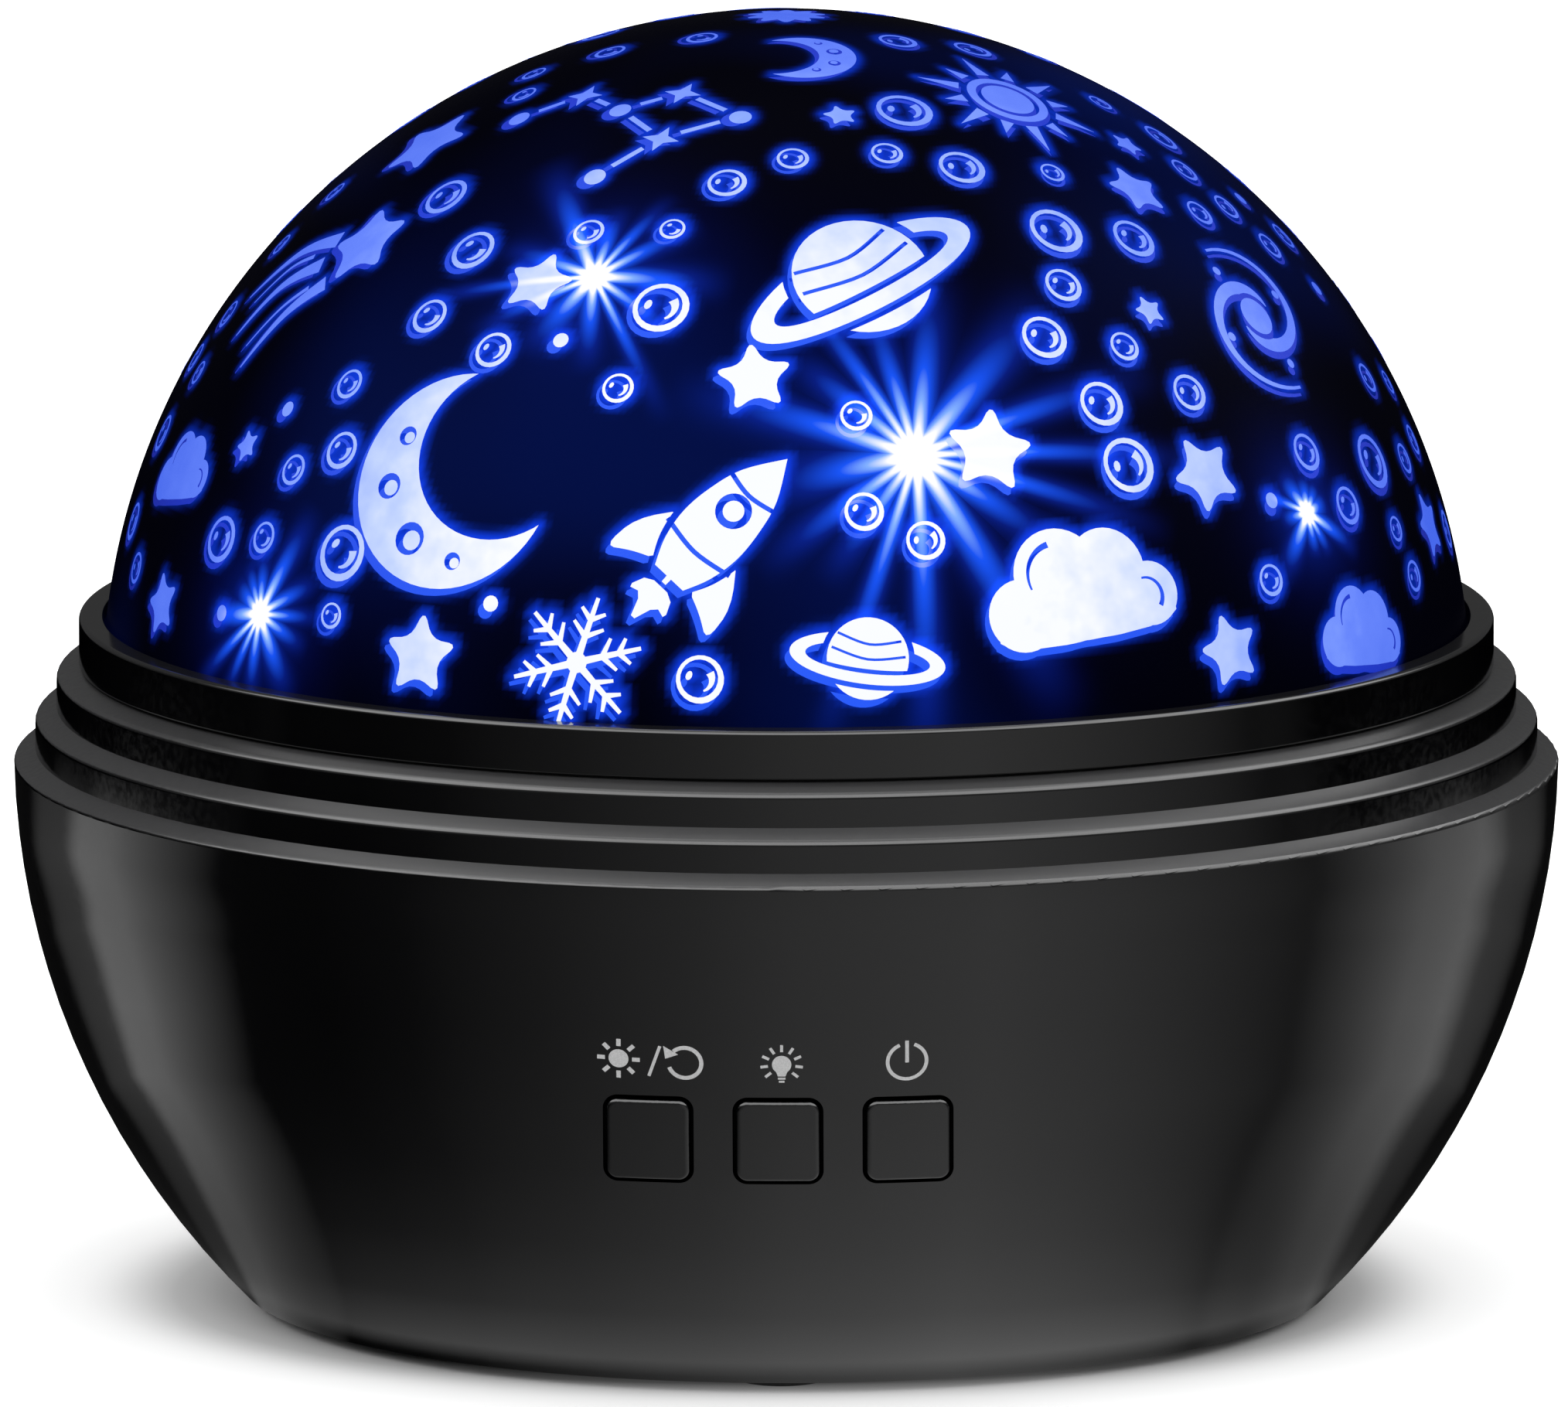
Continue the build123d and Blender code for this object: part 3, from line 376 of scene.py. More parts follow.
class Wiring:
    """Adds nodes to one tree. An input takes a plain value or the signal of another node."""

    def __init__(self, tree):
        self.tree = tree

    def add(self, kind, inputs=None, **settings):
        """A new node."""
        node = self.tree.nodes.new(kind)
        for name, value in settings.items():
            setattr(node, name, value)
        for key, value in (inputs or {}).items():
            if isinstance(value, Signal):
                self.tree.links.new(value.socket, node.inputs[key])
            else:
                node.inputs[key].default_value = value
        return node

    def signal(self, kind, inputs=None, output=0, **settings):
        """One output of a new node."""
        return Signal(self, self.add(kind, inputs, **settings).outputs[output])

    def outputs(self, kind):
        """All outputs of a new node, by name."""
        return {socket.name: Signal(self, socket) for socket in self.add(kind).outputs}

    def join(self, x=0.0, y=0.0, z=0.0):
        return self.signal("ShaderNodeCombineXYZ", {0: x, 1: y, 2: z})


def new_material(name):
    """An empty material and the object's own coordinates in it."""
    material = bpy.data.materials.new(name)
    material.use_nodes = True
    material.node_tree.nodes.clear()
    return material, Wiring(material.node_tree).signal("ShaderNodeTexCoord", {}, "Object")


def close_material(material, sockets):
    """Ends a material in one shader with these sockets, and gives it back."""
    wiring = Wiring(material.node_tree)
    wiring.add("ShaderNodeOutputMaterial", {0: wiring.signal("ShaderNodeBsdfPrincipled", sockets)})
    return material


def surface(name, dark, light, roughness, uneven, grain, depth, metallic=0.0, stretch=(1.0, 1.0, 1.0)):
    """A finish with cloudy colour, uneven gloss and a grain, counted to the metre, its depth in mm."""
    material, place = new_material(name)
    fine = place.vector("MULTIPLY", stretch).noise(grain, 4.0, 0.6)
    sockets = {
        "Base Color": place.noise(CLOUDS).mix(screen(*dark), screen(*light)),
        "Roughness": fine.vary(roughness - uneven, roughness + uneven, "LINEAR"),
        "Metallic": metallic,
        "Normal": fine.bump(depth * MM),
    }
    return close_material(material, sockets)


def geometry_tree(name, inputs):
    """A geometry tree with named inputs after its geometry, its wiring and what it is given."""
    tree = bpy.data.node_groups.new(name, "GeometryNodeTree")
    tree.interface.new_socket("Geometry", in_out="INPUT", socket_type="NodeSocketGeometry")
    tree.interface.new_socket("Geometry", in_out="OUTPUT", socket_type="NodeSocketGeometry")
    for label, kind in inputs.items():
        tree.interface.new_socket(label, in_out="INPUT", socket_type="NodeSocket" + kind)
    wiring = Wiring(tree)
    return tree, wiring, wiring.outputs("NodeGroupInput")


def close_tree(wiring, geometry, material):
    """Ends a geometry tree in plain, painted geometry."""
    real = wiring.signal("GeometryNodeRealizeInstances", {0: geometry})
    painted = wiring.signal("GeometryNodeSetMaterial", {"Geometry": real, "Material": material})
    wiring.add("NodeGroupOutput", {0: painted})


def evaluated(piece):
    """The plain mesh that an object's modifiers make."""
    view = bpy.context.evaluated_depsgraph_get()
    return bpy.data.meshes.new_from_object(piece.evaluated_get(view), depsgraph=view)


def grow(name, tree, seed, values):
    """The plain mesh that a tree grows from the seed object, as a new object. The seed is used up."""
    modifier = seed.modifiers.new(name, "NODES")
    modifier.node_group = tree
    for item in tree.interface.items_tree:
        if item.in_out == "INPUT" and item.name in values:
            modifier[item.identifier] = values[item.name]
    mesh = evaluated(seed)
    seed.modifiers.remove(modifier)
    bpy.data.objects.remove(seed)
    mesh.name = name
    return show(name, mesh)


def show(name, mesh):
    """Links a mesh into the scene as an object at the origin."""
    piece = bpy.data.objects.new(name, mesh)
    bpy.context.scene.collection.objects.link(piece)
    return piece


def raw_mesh(name, points, faces=(), edges=()):
    """A mesh object from plain lists."""
    mesh = bpy.data.meshes.new(name)
    mesh.from_pydata([tuple(p) for p in points], list(edges), [tuple(f) for f in faces])
    mesh.update()
    return show(name, mesh)


def section_line(points):
    """A mesh object of one line through the points."""
    return raw_mesh("section", points, (), [(i, i + 1) for i in range(len(points) - 1)])


def thicken(piece, depth):
    """Gives a thin print its thickness, inwards from its top."""
    wall = piece.modifiers.new("thickness", "SOLIDIFY")
    wall.thickness = depth
    wall.offset = -1.0
    mesh = evaluated(piece)
    piece.modifiers.clear()
    piece.data = mesh


def layered(piece, materials, layers):
    """Gives a piece its materials, one for each face by its layer."""
    for material in materials:
        piece.data.materials.append(material)
    piece.data.polygons.foreach_set("material_index", layers)


def settle(piece, body):
    """A finished piece rides on its body."""
    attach(piece, body)


# Flat shapes. Each is a list of (inks, loop): a loop either inks or clears what lies in it.


def ink(*loops):
    return [(True, loop) for loop in loops]


def clear(*loops):
    return [(False, loop) for loop in loops]


def spun(points, angle):
    """Points turned round the middle."""
    c, s = math.cos(angle), math.sin(angle)
    return [(x * c - y * s, x * s + y * c) for x, y in points]


def moved(points, aside, up=0.0):
    return [(x + aside, y + up) for x, y in points]


def circle(x, y, radius, count=36):
    turns = [math.tau * i / count for i in range(count)]
    return [(x + radius * math.cos(t), y + radius * math.sin(t)) for t in turns]


def ellipse(wide, high, turn=0.0, start=0.0, end=math.tau, count=48):
    """Points of an ellipse round the middle, turned, from one angle to another."""
    steps = count if end - start >= math.tau else count - 1
    turns = [start + (end - start) * i / steps for i in range(count)]
    return spun([(wide * math.cos(t), high * math.sin(t)) for t in turns], turn)


def star(tips, outer, inner, x=0.0, y=0.0, turn=math.pi / 2):
    points = []
    for i in range(2 * tips):
        radius = inner if i % 2 else outer
        t = turn + math.pi * i / tips
        points.append((x + radius * math.cos(t), y + radius * math.sin(t)))
    return points


def softened(loop, rounds=2):
    """A closed loop with its corners cut, again and again."""
    near, far = 0.78, 0.22
    for _ in range(rounds):
        cut = []
        for (ax, ay), (bx, by) in zip(loop, loop[1:] + loop[:1]):
            cut.append((near * ax + far * bx, near * ay + far * by))
            cut.append((far * ax + near * bx, far * ay + near * by))
        loop = cut
    return loop


def flowing(points, steps=8):
    """A smooth line through the points."""
    ends = [points[0], *points, points[-1]]
    line = []

    def between(a, b, c, d, t):
        bend, twist = a - 2.5 * b + 2 * c - 0.5 * d, 1.5 * (b - c) + 0.5 * (d - a)
        return b + 0.5 * t * (c - a) + t * t * bend + t * t * t * twist

    for four in zip(ends, ends[1:], ends[2:], ends[3:]):
        line += [tuple(between(*parts, i / steps) for parts in zip(*four)) for i in range(steps)]
    return [*line, tuple(points[-1])]


def ribbon(line, start_width, end_width=None):
    """A band along a line, its width going from one value to the other."""
    end_width = start_width if end_width is None else end_width
    left, right = [], []
    for i, (x, y) in enumerate(line):
        before, after = line[max(i - 1, 0)], line[min(i + 1, len(line) - 1)]
        dx, dy = after[0] - before[0], after[1] - before[1]
        length = math.hypot(dx, dy)
        half = 0.5 * (start_width + (end_width - start_width) * i / (len(line) - 1))
        left.append((x - dy / length * half, y + dx / length * half))
        right.append((x + dy / length * half, y - dx / length * half))
    return left + right[::-1]


def arc(x, y, radius, start, end, count=20):
    """Points along an arc; its angles are in degrees."""
    turns = [math.radians(start + (end - start) * i / (count - 1)) for i in range(count)]
    return [(x + radius * math.cos(t), y + radius * math.sin(t)) for t in turns]


def moon_shape():
    craters = ((-0.66, 0.02, 0.12), (-0.42, -0.5, 0.15), (-0.5, 0.47, 0.09), (0.02, -0.76, 0.08))
    shapes = ink(circle(0, 0, 1, 60)) + clear(circle(0.47, 0.22, 0.83, 60))
    for x, y, radius in craters:
        shapes += clear(circle(x, y, radius, 20)) + ink(circle(x + 0.02, y - 0.02, radius * 0.6, 16))
    return shapes


def planet_shape():
    tilt = math.radians(22)
    shapes = ink(ellipse(1.05, 0.34, tilt, count=64)) + clear(ellipse(0.84, 0.2, tilt, count=56))
    shapes += clear(circle(0, 0, 0.63, 44)) + ink(circle(0, 0, 0.55, 44))
    for low, high, height in ((-0.44, 0.42, 0.24), (-0.5, 0.5, 0.04)):
        band = [(low, height + 0.06), (0, height - 0.05), (high, height + 0.04)]
        shapes += clear(spun(ribbon(flowing(band, 6), 0.035), tilt))
    front, rim = (ellipse(*size, tilt, math.pi, math.tau, 32) for size in ((1.05, 0.34), (1.12, 0.41)))
    inner, hole = (ellipse(*size, tilt, math.tau, math.pi, 32) for size in ((0.84, 0.2), (0.77, 0.14)))
    return shapes + clear(rim + hole) + ink(front + inner)


def rocket_shape():
    side = flowing([(0.18, -0.55), (0.29, -0.3), (0.34, 0.0), (0.31, 0.32), (0.22, 0.64), (0.0, 1.0)], 5)
    hull = side + [(-x, y) for x, y in side[::-1][1:]]
    fin = [(0.3, 0.05), (0.62, -0.36), (0.66, -0.74), (0.44, -0.6), (0.2, -0.5)]
    left = [(-0.15, -0.66), (-0.24, -0.86), (-0.1, -0.82)]
    flame = [*left, (0, -1.1), *((-x, y) for x, y in left[::-1])]
    bands = [[(-0.32, 0.56), (0, 0.5), (0.32, 0.56)], [(-0.4, -0.16), (0, -0.22), (0.4, -0.16)]]
    shapes = ink(softened(fin), softened([(-x, y) for x, y in fin]))
    shapes += clear([(x * 1.2, y * 1.03) for x, y in hull]) + ink(hull)
    shapes += clear(circle(0, 0.3, 0.17, 28)) + ink(circle(0, 0.3, 0.1, 24))
    shapes += clear(*(ribbon(flowing(band, 6), 0.045) for band in bands))
    return shapes + ink(ribbon([(0, -0.34), (0, -0.62)], 0.07, 0.05), softened(flame, 1))


def cloud_shape():
    puffs = ((-0.62, -0.14, 0.34), (-0.2, 0.16, 0.44), (0.3, 0.12, 0.4), (0.7, -0.16, 0.3))
    shapes = ink(*(circle(*puff) for puff in puffs))
    shapes += ink(softened([(-0.9, -0.48), (0.95, -0.48), (0.95, -0.1), (-0.9, -0.1)]))
    shapes += clear(ribbon(arc(-0.2, 0.16, 0.3, 96, 196), 0.06, 0.02))
    return shapes + clear(ribbon(arc(0.66, -0.18, 0.17, -40, 96), 0.05, 0.02))


def comet_shape():
    trails = (
        (0.17, 0.015, (0.16, 0.42), (-0.4, 0.42), (-0.98, 0.14)),
        (0.17, 0.015, (0.1, 0.16), (-0.4, 0.06), (-0.86, -0.3)),
        (0.17, 0.015, (0.3, -0.08), (-0.1, -0.3), (-0.52, -0.72)),
        (0.05, 0.012, (-0.1, 0.3), (-0.42, 0.26), (-0.8, 0.02)),
        (0.05, 0.012, (0.08, -0.08), (-0.22, -0.22), (-0.56, -0.5)),
    )
    head = softened(star(5, 0.44, 0.22, 0.58, 0.3, 0.5))
    return ink(head, *(ribbon(flowing(line), wide, thin) for wide, thin, *line in trails))


def galaxy_shape():
    shapes = []
    for start in (0.2, math.pi + 0.2):
        line = []
        for i in range(36):
            t = i / 35
            reach, turn = 0.2 + 0.78 * t, start + 4.3 * t
            line.append((reach * math.cos(turn), 0.82 * reach * math.sin(turn)))
        shapes += ink(ribbon(line, 0.2, 0.03))
    spots = ((0.62, -0.02), (-0.6, 0.06), (0.05, 0.58), (-0.08, -0.56))
    shapes += clear(circle(0, 0, 0.27, 28)) + ink(circle(0, 0, 0.21, 28))
    return shapes + ink(*(circle(x, y, 0.05, 14) for x, y in spots))


def constellation_shape():
    spots = ((-0.95, 0.15), (-0.5, 0.42), (-0.08, 0.2), (0.3, 0.5), (0.88, 0.3), (0.42, -0.12), (0.1, -0.62))
    links = ((0, 1), (1, 2), (2, 3), (3, 4), (4, 5), (5, 2), (5, 6))
    shapes = ink(*(ribbon([spots[first], spots[second]], 0.045) for first, second in links))
    for i, (x, y) in enumerate(spots):
        shapes += clear(circle(x, y, 0.16, 22))
        shapes += ink(star(4, 0.15, 0.06, x, y) if i % 2 else circle(x, y, 0.085, 20))
    return shapes


def sun_shape():
    shapes = ink(circle(0, 0, 0.46, 40)) + clear(circle(0, 0, 0.36, 36)) + ink(circle(0, 0, 0.3, 32))
    for i in range(12):
        tip = 0.8 if i % 2 else 1.0
        shapes += ink(spun([(0.55, -0.075), (tip, 0.0), (0.55, 0.075)], math.tau * i / 12))
    return shapes


def flake_shape():
    shapes = []
    for i in range(6):
        turn = math.tau * i / 6 + 0.26
        shapes += ink(spun(ribbon([(0.12, 0), (1, 0)], 0.11, 0.06), turn))
        for base, reach in ((0.4, 0.3), (0.66, 0.24)):
            for side in (-1, 1):
                tip = (base + reach * 0.6, side * reach * 0.8)
                shapes += ink(spun(ribbon([(base, 0.0), tip], 0.085, 0.05), turn))
    return shapes + ink(circle(0, 0, 0.16, 12))


def star_shape():
    return ink(softened(star(5, 1.08, 0.5)))


def bubble_shape():
    """A ring with a crescent of light on one side and a spot on the other."""
    spot = moved(ellipse(0.13, 0.2, math.radians(-30), count=10), -0.44, 0.2)
    crescent = ribbon(arc(0, 0, 0.5, -78, 28, 9), 0.07, 0.34)
    return ink(circle(0, 0, 1, 24)) + clear(circle(-0.03, 0.04, 0.79, 22)) + ink(crescent, spot)


def dot_shape():
    return ink(circle(0, 0, 1, 16))


def inside(points, loop):
    """Which of the points lie in a closed loop."""
    loop = np.array(loop)
    ahead = np.roll(loop, -1, axis=0)
    x, y = points[:, 0, None], points[:, 1, None]
    crosses = (loop[:, 1] > y) != (ahead[:, 1] > y)
    rise = np.where(ahead[:, 1] == loop[:, 1], 1e-12, ahead[:, 1] - loop[:, 1])
    at = loop[:, 0] + (y - loop[:, 1]) / rise * (ahead[:, 0] - loop[:, 0])
    return (crosses & (x < at)).sum(axis=1) % 2 == 1


def inked_faces(shapes, spacing):
    """Corners and triangles of what the shapes ink, with inner corners at a spacing so that it can bend."""
    points, edges = [], []
    for _, loop in shapes:
        first = len(points)
        points += [Vector(p) for p in loop]
        edges += [(first + i, first + (i + 1) % len(loop)) for i in range(len(loop))]
    outline = np.array([tuple(p) for p in points])
    low, high = outline.min(axis=0), outline.max(axis=0)
    for x in np.arange(low[0] + spacing / 2, high[0], spacing):
        for y in np.arange(low[1] + spacing / 2, high[1], spacing):
            points.append(Vector((x, y)))
    found = delaunay_2d_cdt(points, edges, [], 0, 1e-7)
    corners = np.array([tuple(p) for p in found[0]])
    faces = np.array(found[2])
    middles = corners[faces].mean(axis=1)
    inked = np.zeros(len(faces), bool)
    for inks, loop in shapes:
        inked = np.where(inside(middles, loop), inks, inked)
    faces = faces[inked]
    a, b, c = (corners[faces[:, i]] for i in range(3))
    area = (b[:, 0] - a[:, 0]) * (c[:, 1] - a[:, 1]) - (b[:, 1] - a[:, 1]) * (c[:, 0] - a[:, 0])
    faces[area < 0] = faces[area < 0][:, ::-1]
    faces = faces[np.abs(area) > 1e-14]
    used, places = np.unique(faces, return_inverse=True)
    return corners[used], places.reshape(-1, 3)


def sized(shapes, size, turn=0.0):
    """The shapes scaled and turned in their plane."""
    return [(inks, [(x * size, y * size) for x, y in spun(loop, turn)]) for inks, loop in shapes]


def compass(azimuth, elevation):
    """Outward, rightward and upward directions at a place on a ball, for angles in degrees."""
    a, e = math.radians(azimuth), math.radians(elevation)
    out = np.array((math.sin(a) * math.cos(e), -math.cos(a) * math.cos(e), math.sin(e)))
    right = np.array((math.cos(a), math.sin(a), 0.0))
    return out, right, np.cross(out, right)


def wrapped(corners, azimuth, elevation, radius, top, centre_height):
    """Flat corners laid on a ball round a place on it; arc lengths from that place are kept."""
    out, right, up = compass(azimuth, elevation)
    reach = np.hypot(corners[:, 0], corners[:, 1])
    safe = np.maximum(reach, 1e-12)
    aside = (corners[:, :1] * right + corners[:, 1:] * up) / safe[:, None]
    angle = (reach / radius)[:, None]
    points = (radius + top) * (np.cos(angle) * out + np.sin(angle) * aside)
    points[:, 2] += centre_height
    return points


# The prints on the dome

# name, shape, (azimuth, elevation, radius in mm, turn in degrees) of each place on the front half
MOTIFS = (
    ("moon", moon_shape, ((-31.6, 26.1, 9.4, 12), (6.5, 76.8, 4.5, 150))),
    ("planet", planet_shape, ((9.7, 46.4, 10.6, 8), (7.5, 12.3, 6.2, -30))),
    ("rocket", rocket_shape, ((-6.1, 22.6, 9.0, -42),)),
    ("cloud", cloud_shape, ((26.9, 17.2, 9.0, 6), (58.5, 10.4, 6.2, -6), (-70.5, 22.3, 5.6, 10))),
    ("comet", comet_shape, ((-66, 40.8, 10.2, 24),)),
    ("galaxy", galaxy_shape, ((60.5, 38.2, 8.6, 18),)),
    ("constellation", constellation_shape, ((-32.3, 63.4, 11.2, 4),)),
    ("sun", sun_shape, ((52.7, 66.0, 7.8, 10),)),
    ("flake", flake_shape, ((-17.2, 11.6, 5.6, 0),)),
    (
        "star",
        star_shape,
        (
            (-71.2, 56.9, 4.3, 14),
            (57.0, 52.6, 2.9, -10),
            (-2.6, 36.4, 3.3, 8),
            (20.2, 29.4, 3.9, -12),
            (42.6, 25.6, 3.5, 20),
            (-31.8, 11.2, 3.5, 0),
            (41.2, 10.8, 3.2, 12),
            (-29.4, 44.6, 3.2, -6),
            (77.7, 16.4, 3.0, 8),
            (-66.6, 11.2, 2.8, 20),
        ),
    ),
)
# azimuth, elevation, size of the core in mm, longest ray in mm, rays (an even count)
GLINTS = (
    (-22.6, 45.6, 0.95, 17.0, 12),
    (12.9, 29.2, 1.3, 29.0, 16),
    (-50.4, 12.6, 0.8, 11.0, 12),
    (54.2, 20.9, 0.7, 8.0, 10),
)
HOT_ELEVATION = 20.0
BOTH_HALVES = (0, 180)
# The scatter of small prints, with elevations in degrees, and room and radii in mm
TRIES = 60  # places tried for each
LEAST_ROOM = 0.8
MOTIF_ROOM, GLINT_ROOM = 0.9, 0.6  # shares of a motif's radius and of a glint's core that stay free
COLLAR_EDGE, LOWEST = 6.6, 9
HIGHEST_SINE = 0.995
KIND_SHARES = (0.82, 0.12, 0.06)  # bubbles, dots and small stars
BUBBLE_RADII, BUBBLE_SHARES = (1.1, 1.35, 1.65, 2.0, 2.4), (0.2, 0.3, 0.28, 0.15, 0.07)
DOT_RADIUS, SMALL_STAR_RADIUS = 0.68, 1.5


def ink_layers(prints):
    """Top and shift of the ink, and of its blue shade under it."""
    return ((prints.ink_height, (0, 0)), (prints.shade_height, prints.shade_shift))


def print_inks():
    return [bpy.data.materials["print_ink"], bpy.data.materials["print_shade"]]


def motif_piece(name, shape, places, settings):
    """One motif at all its places on both halves of the dome: the ink, and its blue shade under it."""
    dome, prints = settings.dome, settings.prints
    points, faces, layers = [], [], []
    count = 0
    for azimuth, elevation, size, turn in places:
        corners, triangles = inked_faces(sized(shape(), size * MM, math.radians(turn)), 1.6 * MM)
        for half in BOTH_HALVES:
            for layer, (top, shift) in enumerate(ink_layers(prints)):
                place = (azimuth + half, elevation, dome.radius, top, dome.centre_height)
                points.append(wrapped(corners + np.array(shift), *place))
                faces.append(triangles + count)
                layers += [layer] * len(triangles)
                count += len(corners)
    piece = raw_mesh("print_" + name, np.concatenate(points), np.concatenate(faces))
    layered(piece, print_inks(), layers)
    thicken(piece, prints.ink_thickness)
    return piece


def burst_light(out, radius, burst):
    """The light of one star burst: a core, a soft ring of light and tapering rays of uneven length."""
    azimuth, elevation, core, reach, rays = burst
    shortest, root_width, widening, ring_width = 0.4 * reach, 0.26 * core, 1.15 * core, 3.2 * core
    ray_level, core_level, ring_level = 1.35, 2.0, 0.66
    waves, unevenness = 3.0, 0.11
    axis, right, up = (tuple(float(v) for v in line) for line in compass(azimuth, elevation))
    before = out.vector("DOT_PRODUCT", axis).math("GREATER_THAN", 0.3)
    across = out.vector("DOT_PRODUCT", right)
    above = out.vector("DOT_PRODUCT", up)
    distance = (across * across + above * above).math("SQRT") * (radius / MM)
    heading = above.math("ARCTAN2", across)
    heading = (heading * waves + azimuth).math("SINE") * unevenness + heading
    count = heading * (rays / math.tau) + (rays / 2 + 0.3)
    ray = count.math("FLOOR").math("FLOORED_MODULO", rays)
    draw = {"W": ray + elevation}
    chance = out.wiring.signal("ShaderNodeTexWhiteNoise", draw, "Value", noise_dimensions="1D")
    length = chance.spread(0.0, 1.0, shortest, reach, "LINEAR")
    share = (distance / length).math("MINIMUM", 1.0)
    aside = (count.math("FRACT") - 0.5).math("ABSOLUTE") * (math.tau / rays) * distance
    thin = (aside / (share * widening + root_width)) ** 2.0
    beam = (thin * -1.0).math("EXPONENT") * ((1.0 - share) ** 1.5 * ray_level)
    spot = ((distance / core) ** 2.0 * -1.0).math("EXPONENT") * core_level
    soft = (distance * (-1 / ring_width)).math("EXPONENT")
    return (soft * ring_level + (beam + spot)) * before


def outward(place, height):
    """The direction of a place from the point at a height on the upright axis."""
    return place.vector("SUBTRACT", (0, 0, height)).vector("NORMALIZE")


def burst_group(dome):
    """A shader group: the light of all star bursts at a place on the dome, front and back alike."""
    tree = bpy.data.node_groups.new("star bursts", "ShaderNodeTree")
    tree.interface.new_socket("Place", in_out="INPUT", socket_type="NodeSocketVector")
    tree.interface.new_socket("Light", in_out="OUTPUT", socket_type="NodeSocketFloat")
    wiring = Wiring(tree)
    x, y, z = outward(wiring.signal("NodeGroupInput"), dome.centre_height).split()
    side = y.math("LESS_THAN", 0.0) * 2.0 - 1.0
    front = wiring.join(x * side, y * side, z)
    light = 0.0
    for burst in GLINTS:
        light = burst_light(front, dome.radius, burst) + light
    wiring.add("NodeGroupOutput", {0: light})


def flare_at(place):
    """The light of the star bursts at a place, in another tree."""
    return place.wiring.signal("ShaderNodeGroup", {0: place}, node_tree=bpy.data.node_groups["star bursts"])


def lamp_share(place, dome):
    """How squarely a place on the dome lies over the lamp's two beams, front and back, from 0 to 1."""
    folded = outward(place, dome.centre_height).vector("ABSOLUTE")
    hot = math.radians(HOT_ELEVATION)
    return folded.vector("DOT_PRODUCT", (0.0, math.cos(hot), math.sin(hot)))


def close_lit(material, place, light, grain, dark, pale, rough, specular):
    """Ends a material of the dome: light from within, over a dark skin."""
    fine = place.noise(grain)
    sockets = {
        "Emission Color": light,
        "Emission Strength": 1.0,
        "Base Color": fine.mix(screen(*dark), screen(*pale)),
        "Roughness": fine.vary(*rough),
        "Specular IOR Level": specular,
    }
    return close_material(material, sockets)


def ink_material(dome):
    """Translucent white ink, lit from behind: white over the lamp and bluer away from it."""
    material, place = new_material("print_ink")
    stops = (
        (0.3, screen(62, 98, 228)),
        (0.56, screen(98, 130, 246)),
        (0.7, screen(136, 166, 253)),
        (0.82, screen(196, 213, 254)),
        (0.92, screen(249, 251, 254)),
    )
    share = lamp_share(place, dome) - 0.06
    lit = (place.noise(420.0, 2.0) * 0.12 + share).ramp(stops)
    burst = flare_at(place).spread(0.25, 1.1)
    light = burst.mix(lit, screen(255, 255, 255))
    return close_lit(material, place, light, 6000.0, (20, 24, 60), (30, 34, 78), (0.42, 0.58), 0.1)


def shade_material(dome):
    """Saturated blue light that leaks beside each print."""
    material, place = new_material("print_shade")
    stops = ((0.3, screen(20, 34, 150)), (0.6, screen(27, 56, 205)), (0.9, screen(34, 88, 246)))
    burst = flare_at(place).spread(0.3, 1.4)
    light = burst.mix(lamp_share(place, dome).ramp(stops), screen(200, 220, 255))
    return close_lit(material, place, light, 6000.0, (8, 10, 40), (12, 16, 56), (0.42, 0.58), 0.1)


def film_material(dome):
    """Blue-black film with the light of prints and star bursts in it."""
    material, place = new_material("film_skin")
    patches = place.noise(24.0, 1.0).spread(0.45, 0.75)
    film = patches.mix(screen(1, 1, 5), dome.film_colour)
    glow = place.wiring.signal("ShaderNodeAttribute", {}, "Fac", attribute_name="glow")
    level = glow * lamp_share(place, dome).spread(0.3, 0.9, 0.4, 1.0)
    halo = level.mix((0, 0, 0, 1), dome.halo_colour)
    stops = (
        (0.0, screen(0, 0, 0)),
        (0.12, screen(6, 26, 120)),
        (0.34, screen(24, 84, 244)),
        (0.52, screen(130, 176, 255)),
        (0.72, screen(255, 255, 255)),
    )
    burst = (flare_at(place) * 0.5).ramp(stops)
    light = film.with_light(halo).with_light(burst)
    return close_lit(material, place, light, 5000.0, (0, 0, 2), (1, 1, 5), (0.36, 0.46), 0.004)


class NIGHTLIGHT_OT_sky_prints(bpy.types.Operator):
    """Makes the larger night-sky prints on the dome, with their blue shades"""

    bl_idname = "nightlight.sky_prints"
    bl_label = "Sky prints"

    def execute(self, context):
        settings = context.scene.night_light
        burst_group(settings.dome)
        ink_material(settings.dome)
        shade_material(settings.dome)
        crown = ("crown_star", star_shape, ((0.0, 90.0, 3.6, 0),))
        for name, shape, places in (*MOTIFS, crown):
            settle(motif_piece(name, shape, places, settings), "film_cap")
        return {"FINISHED"}


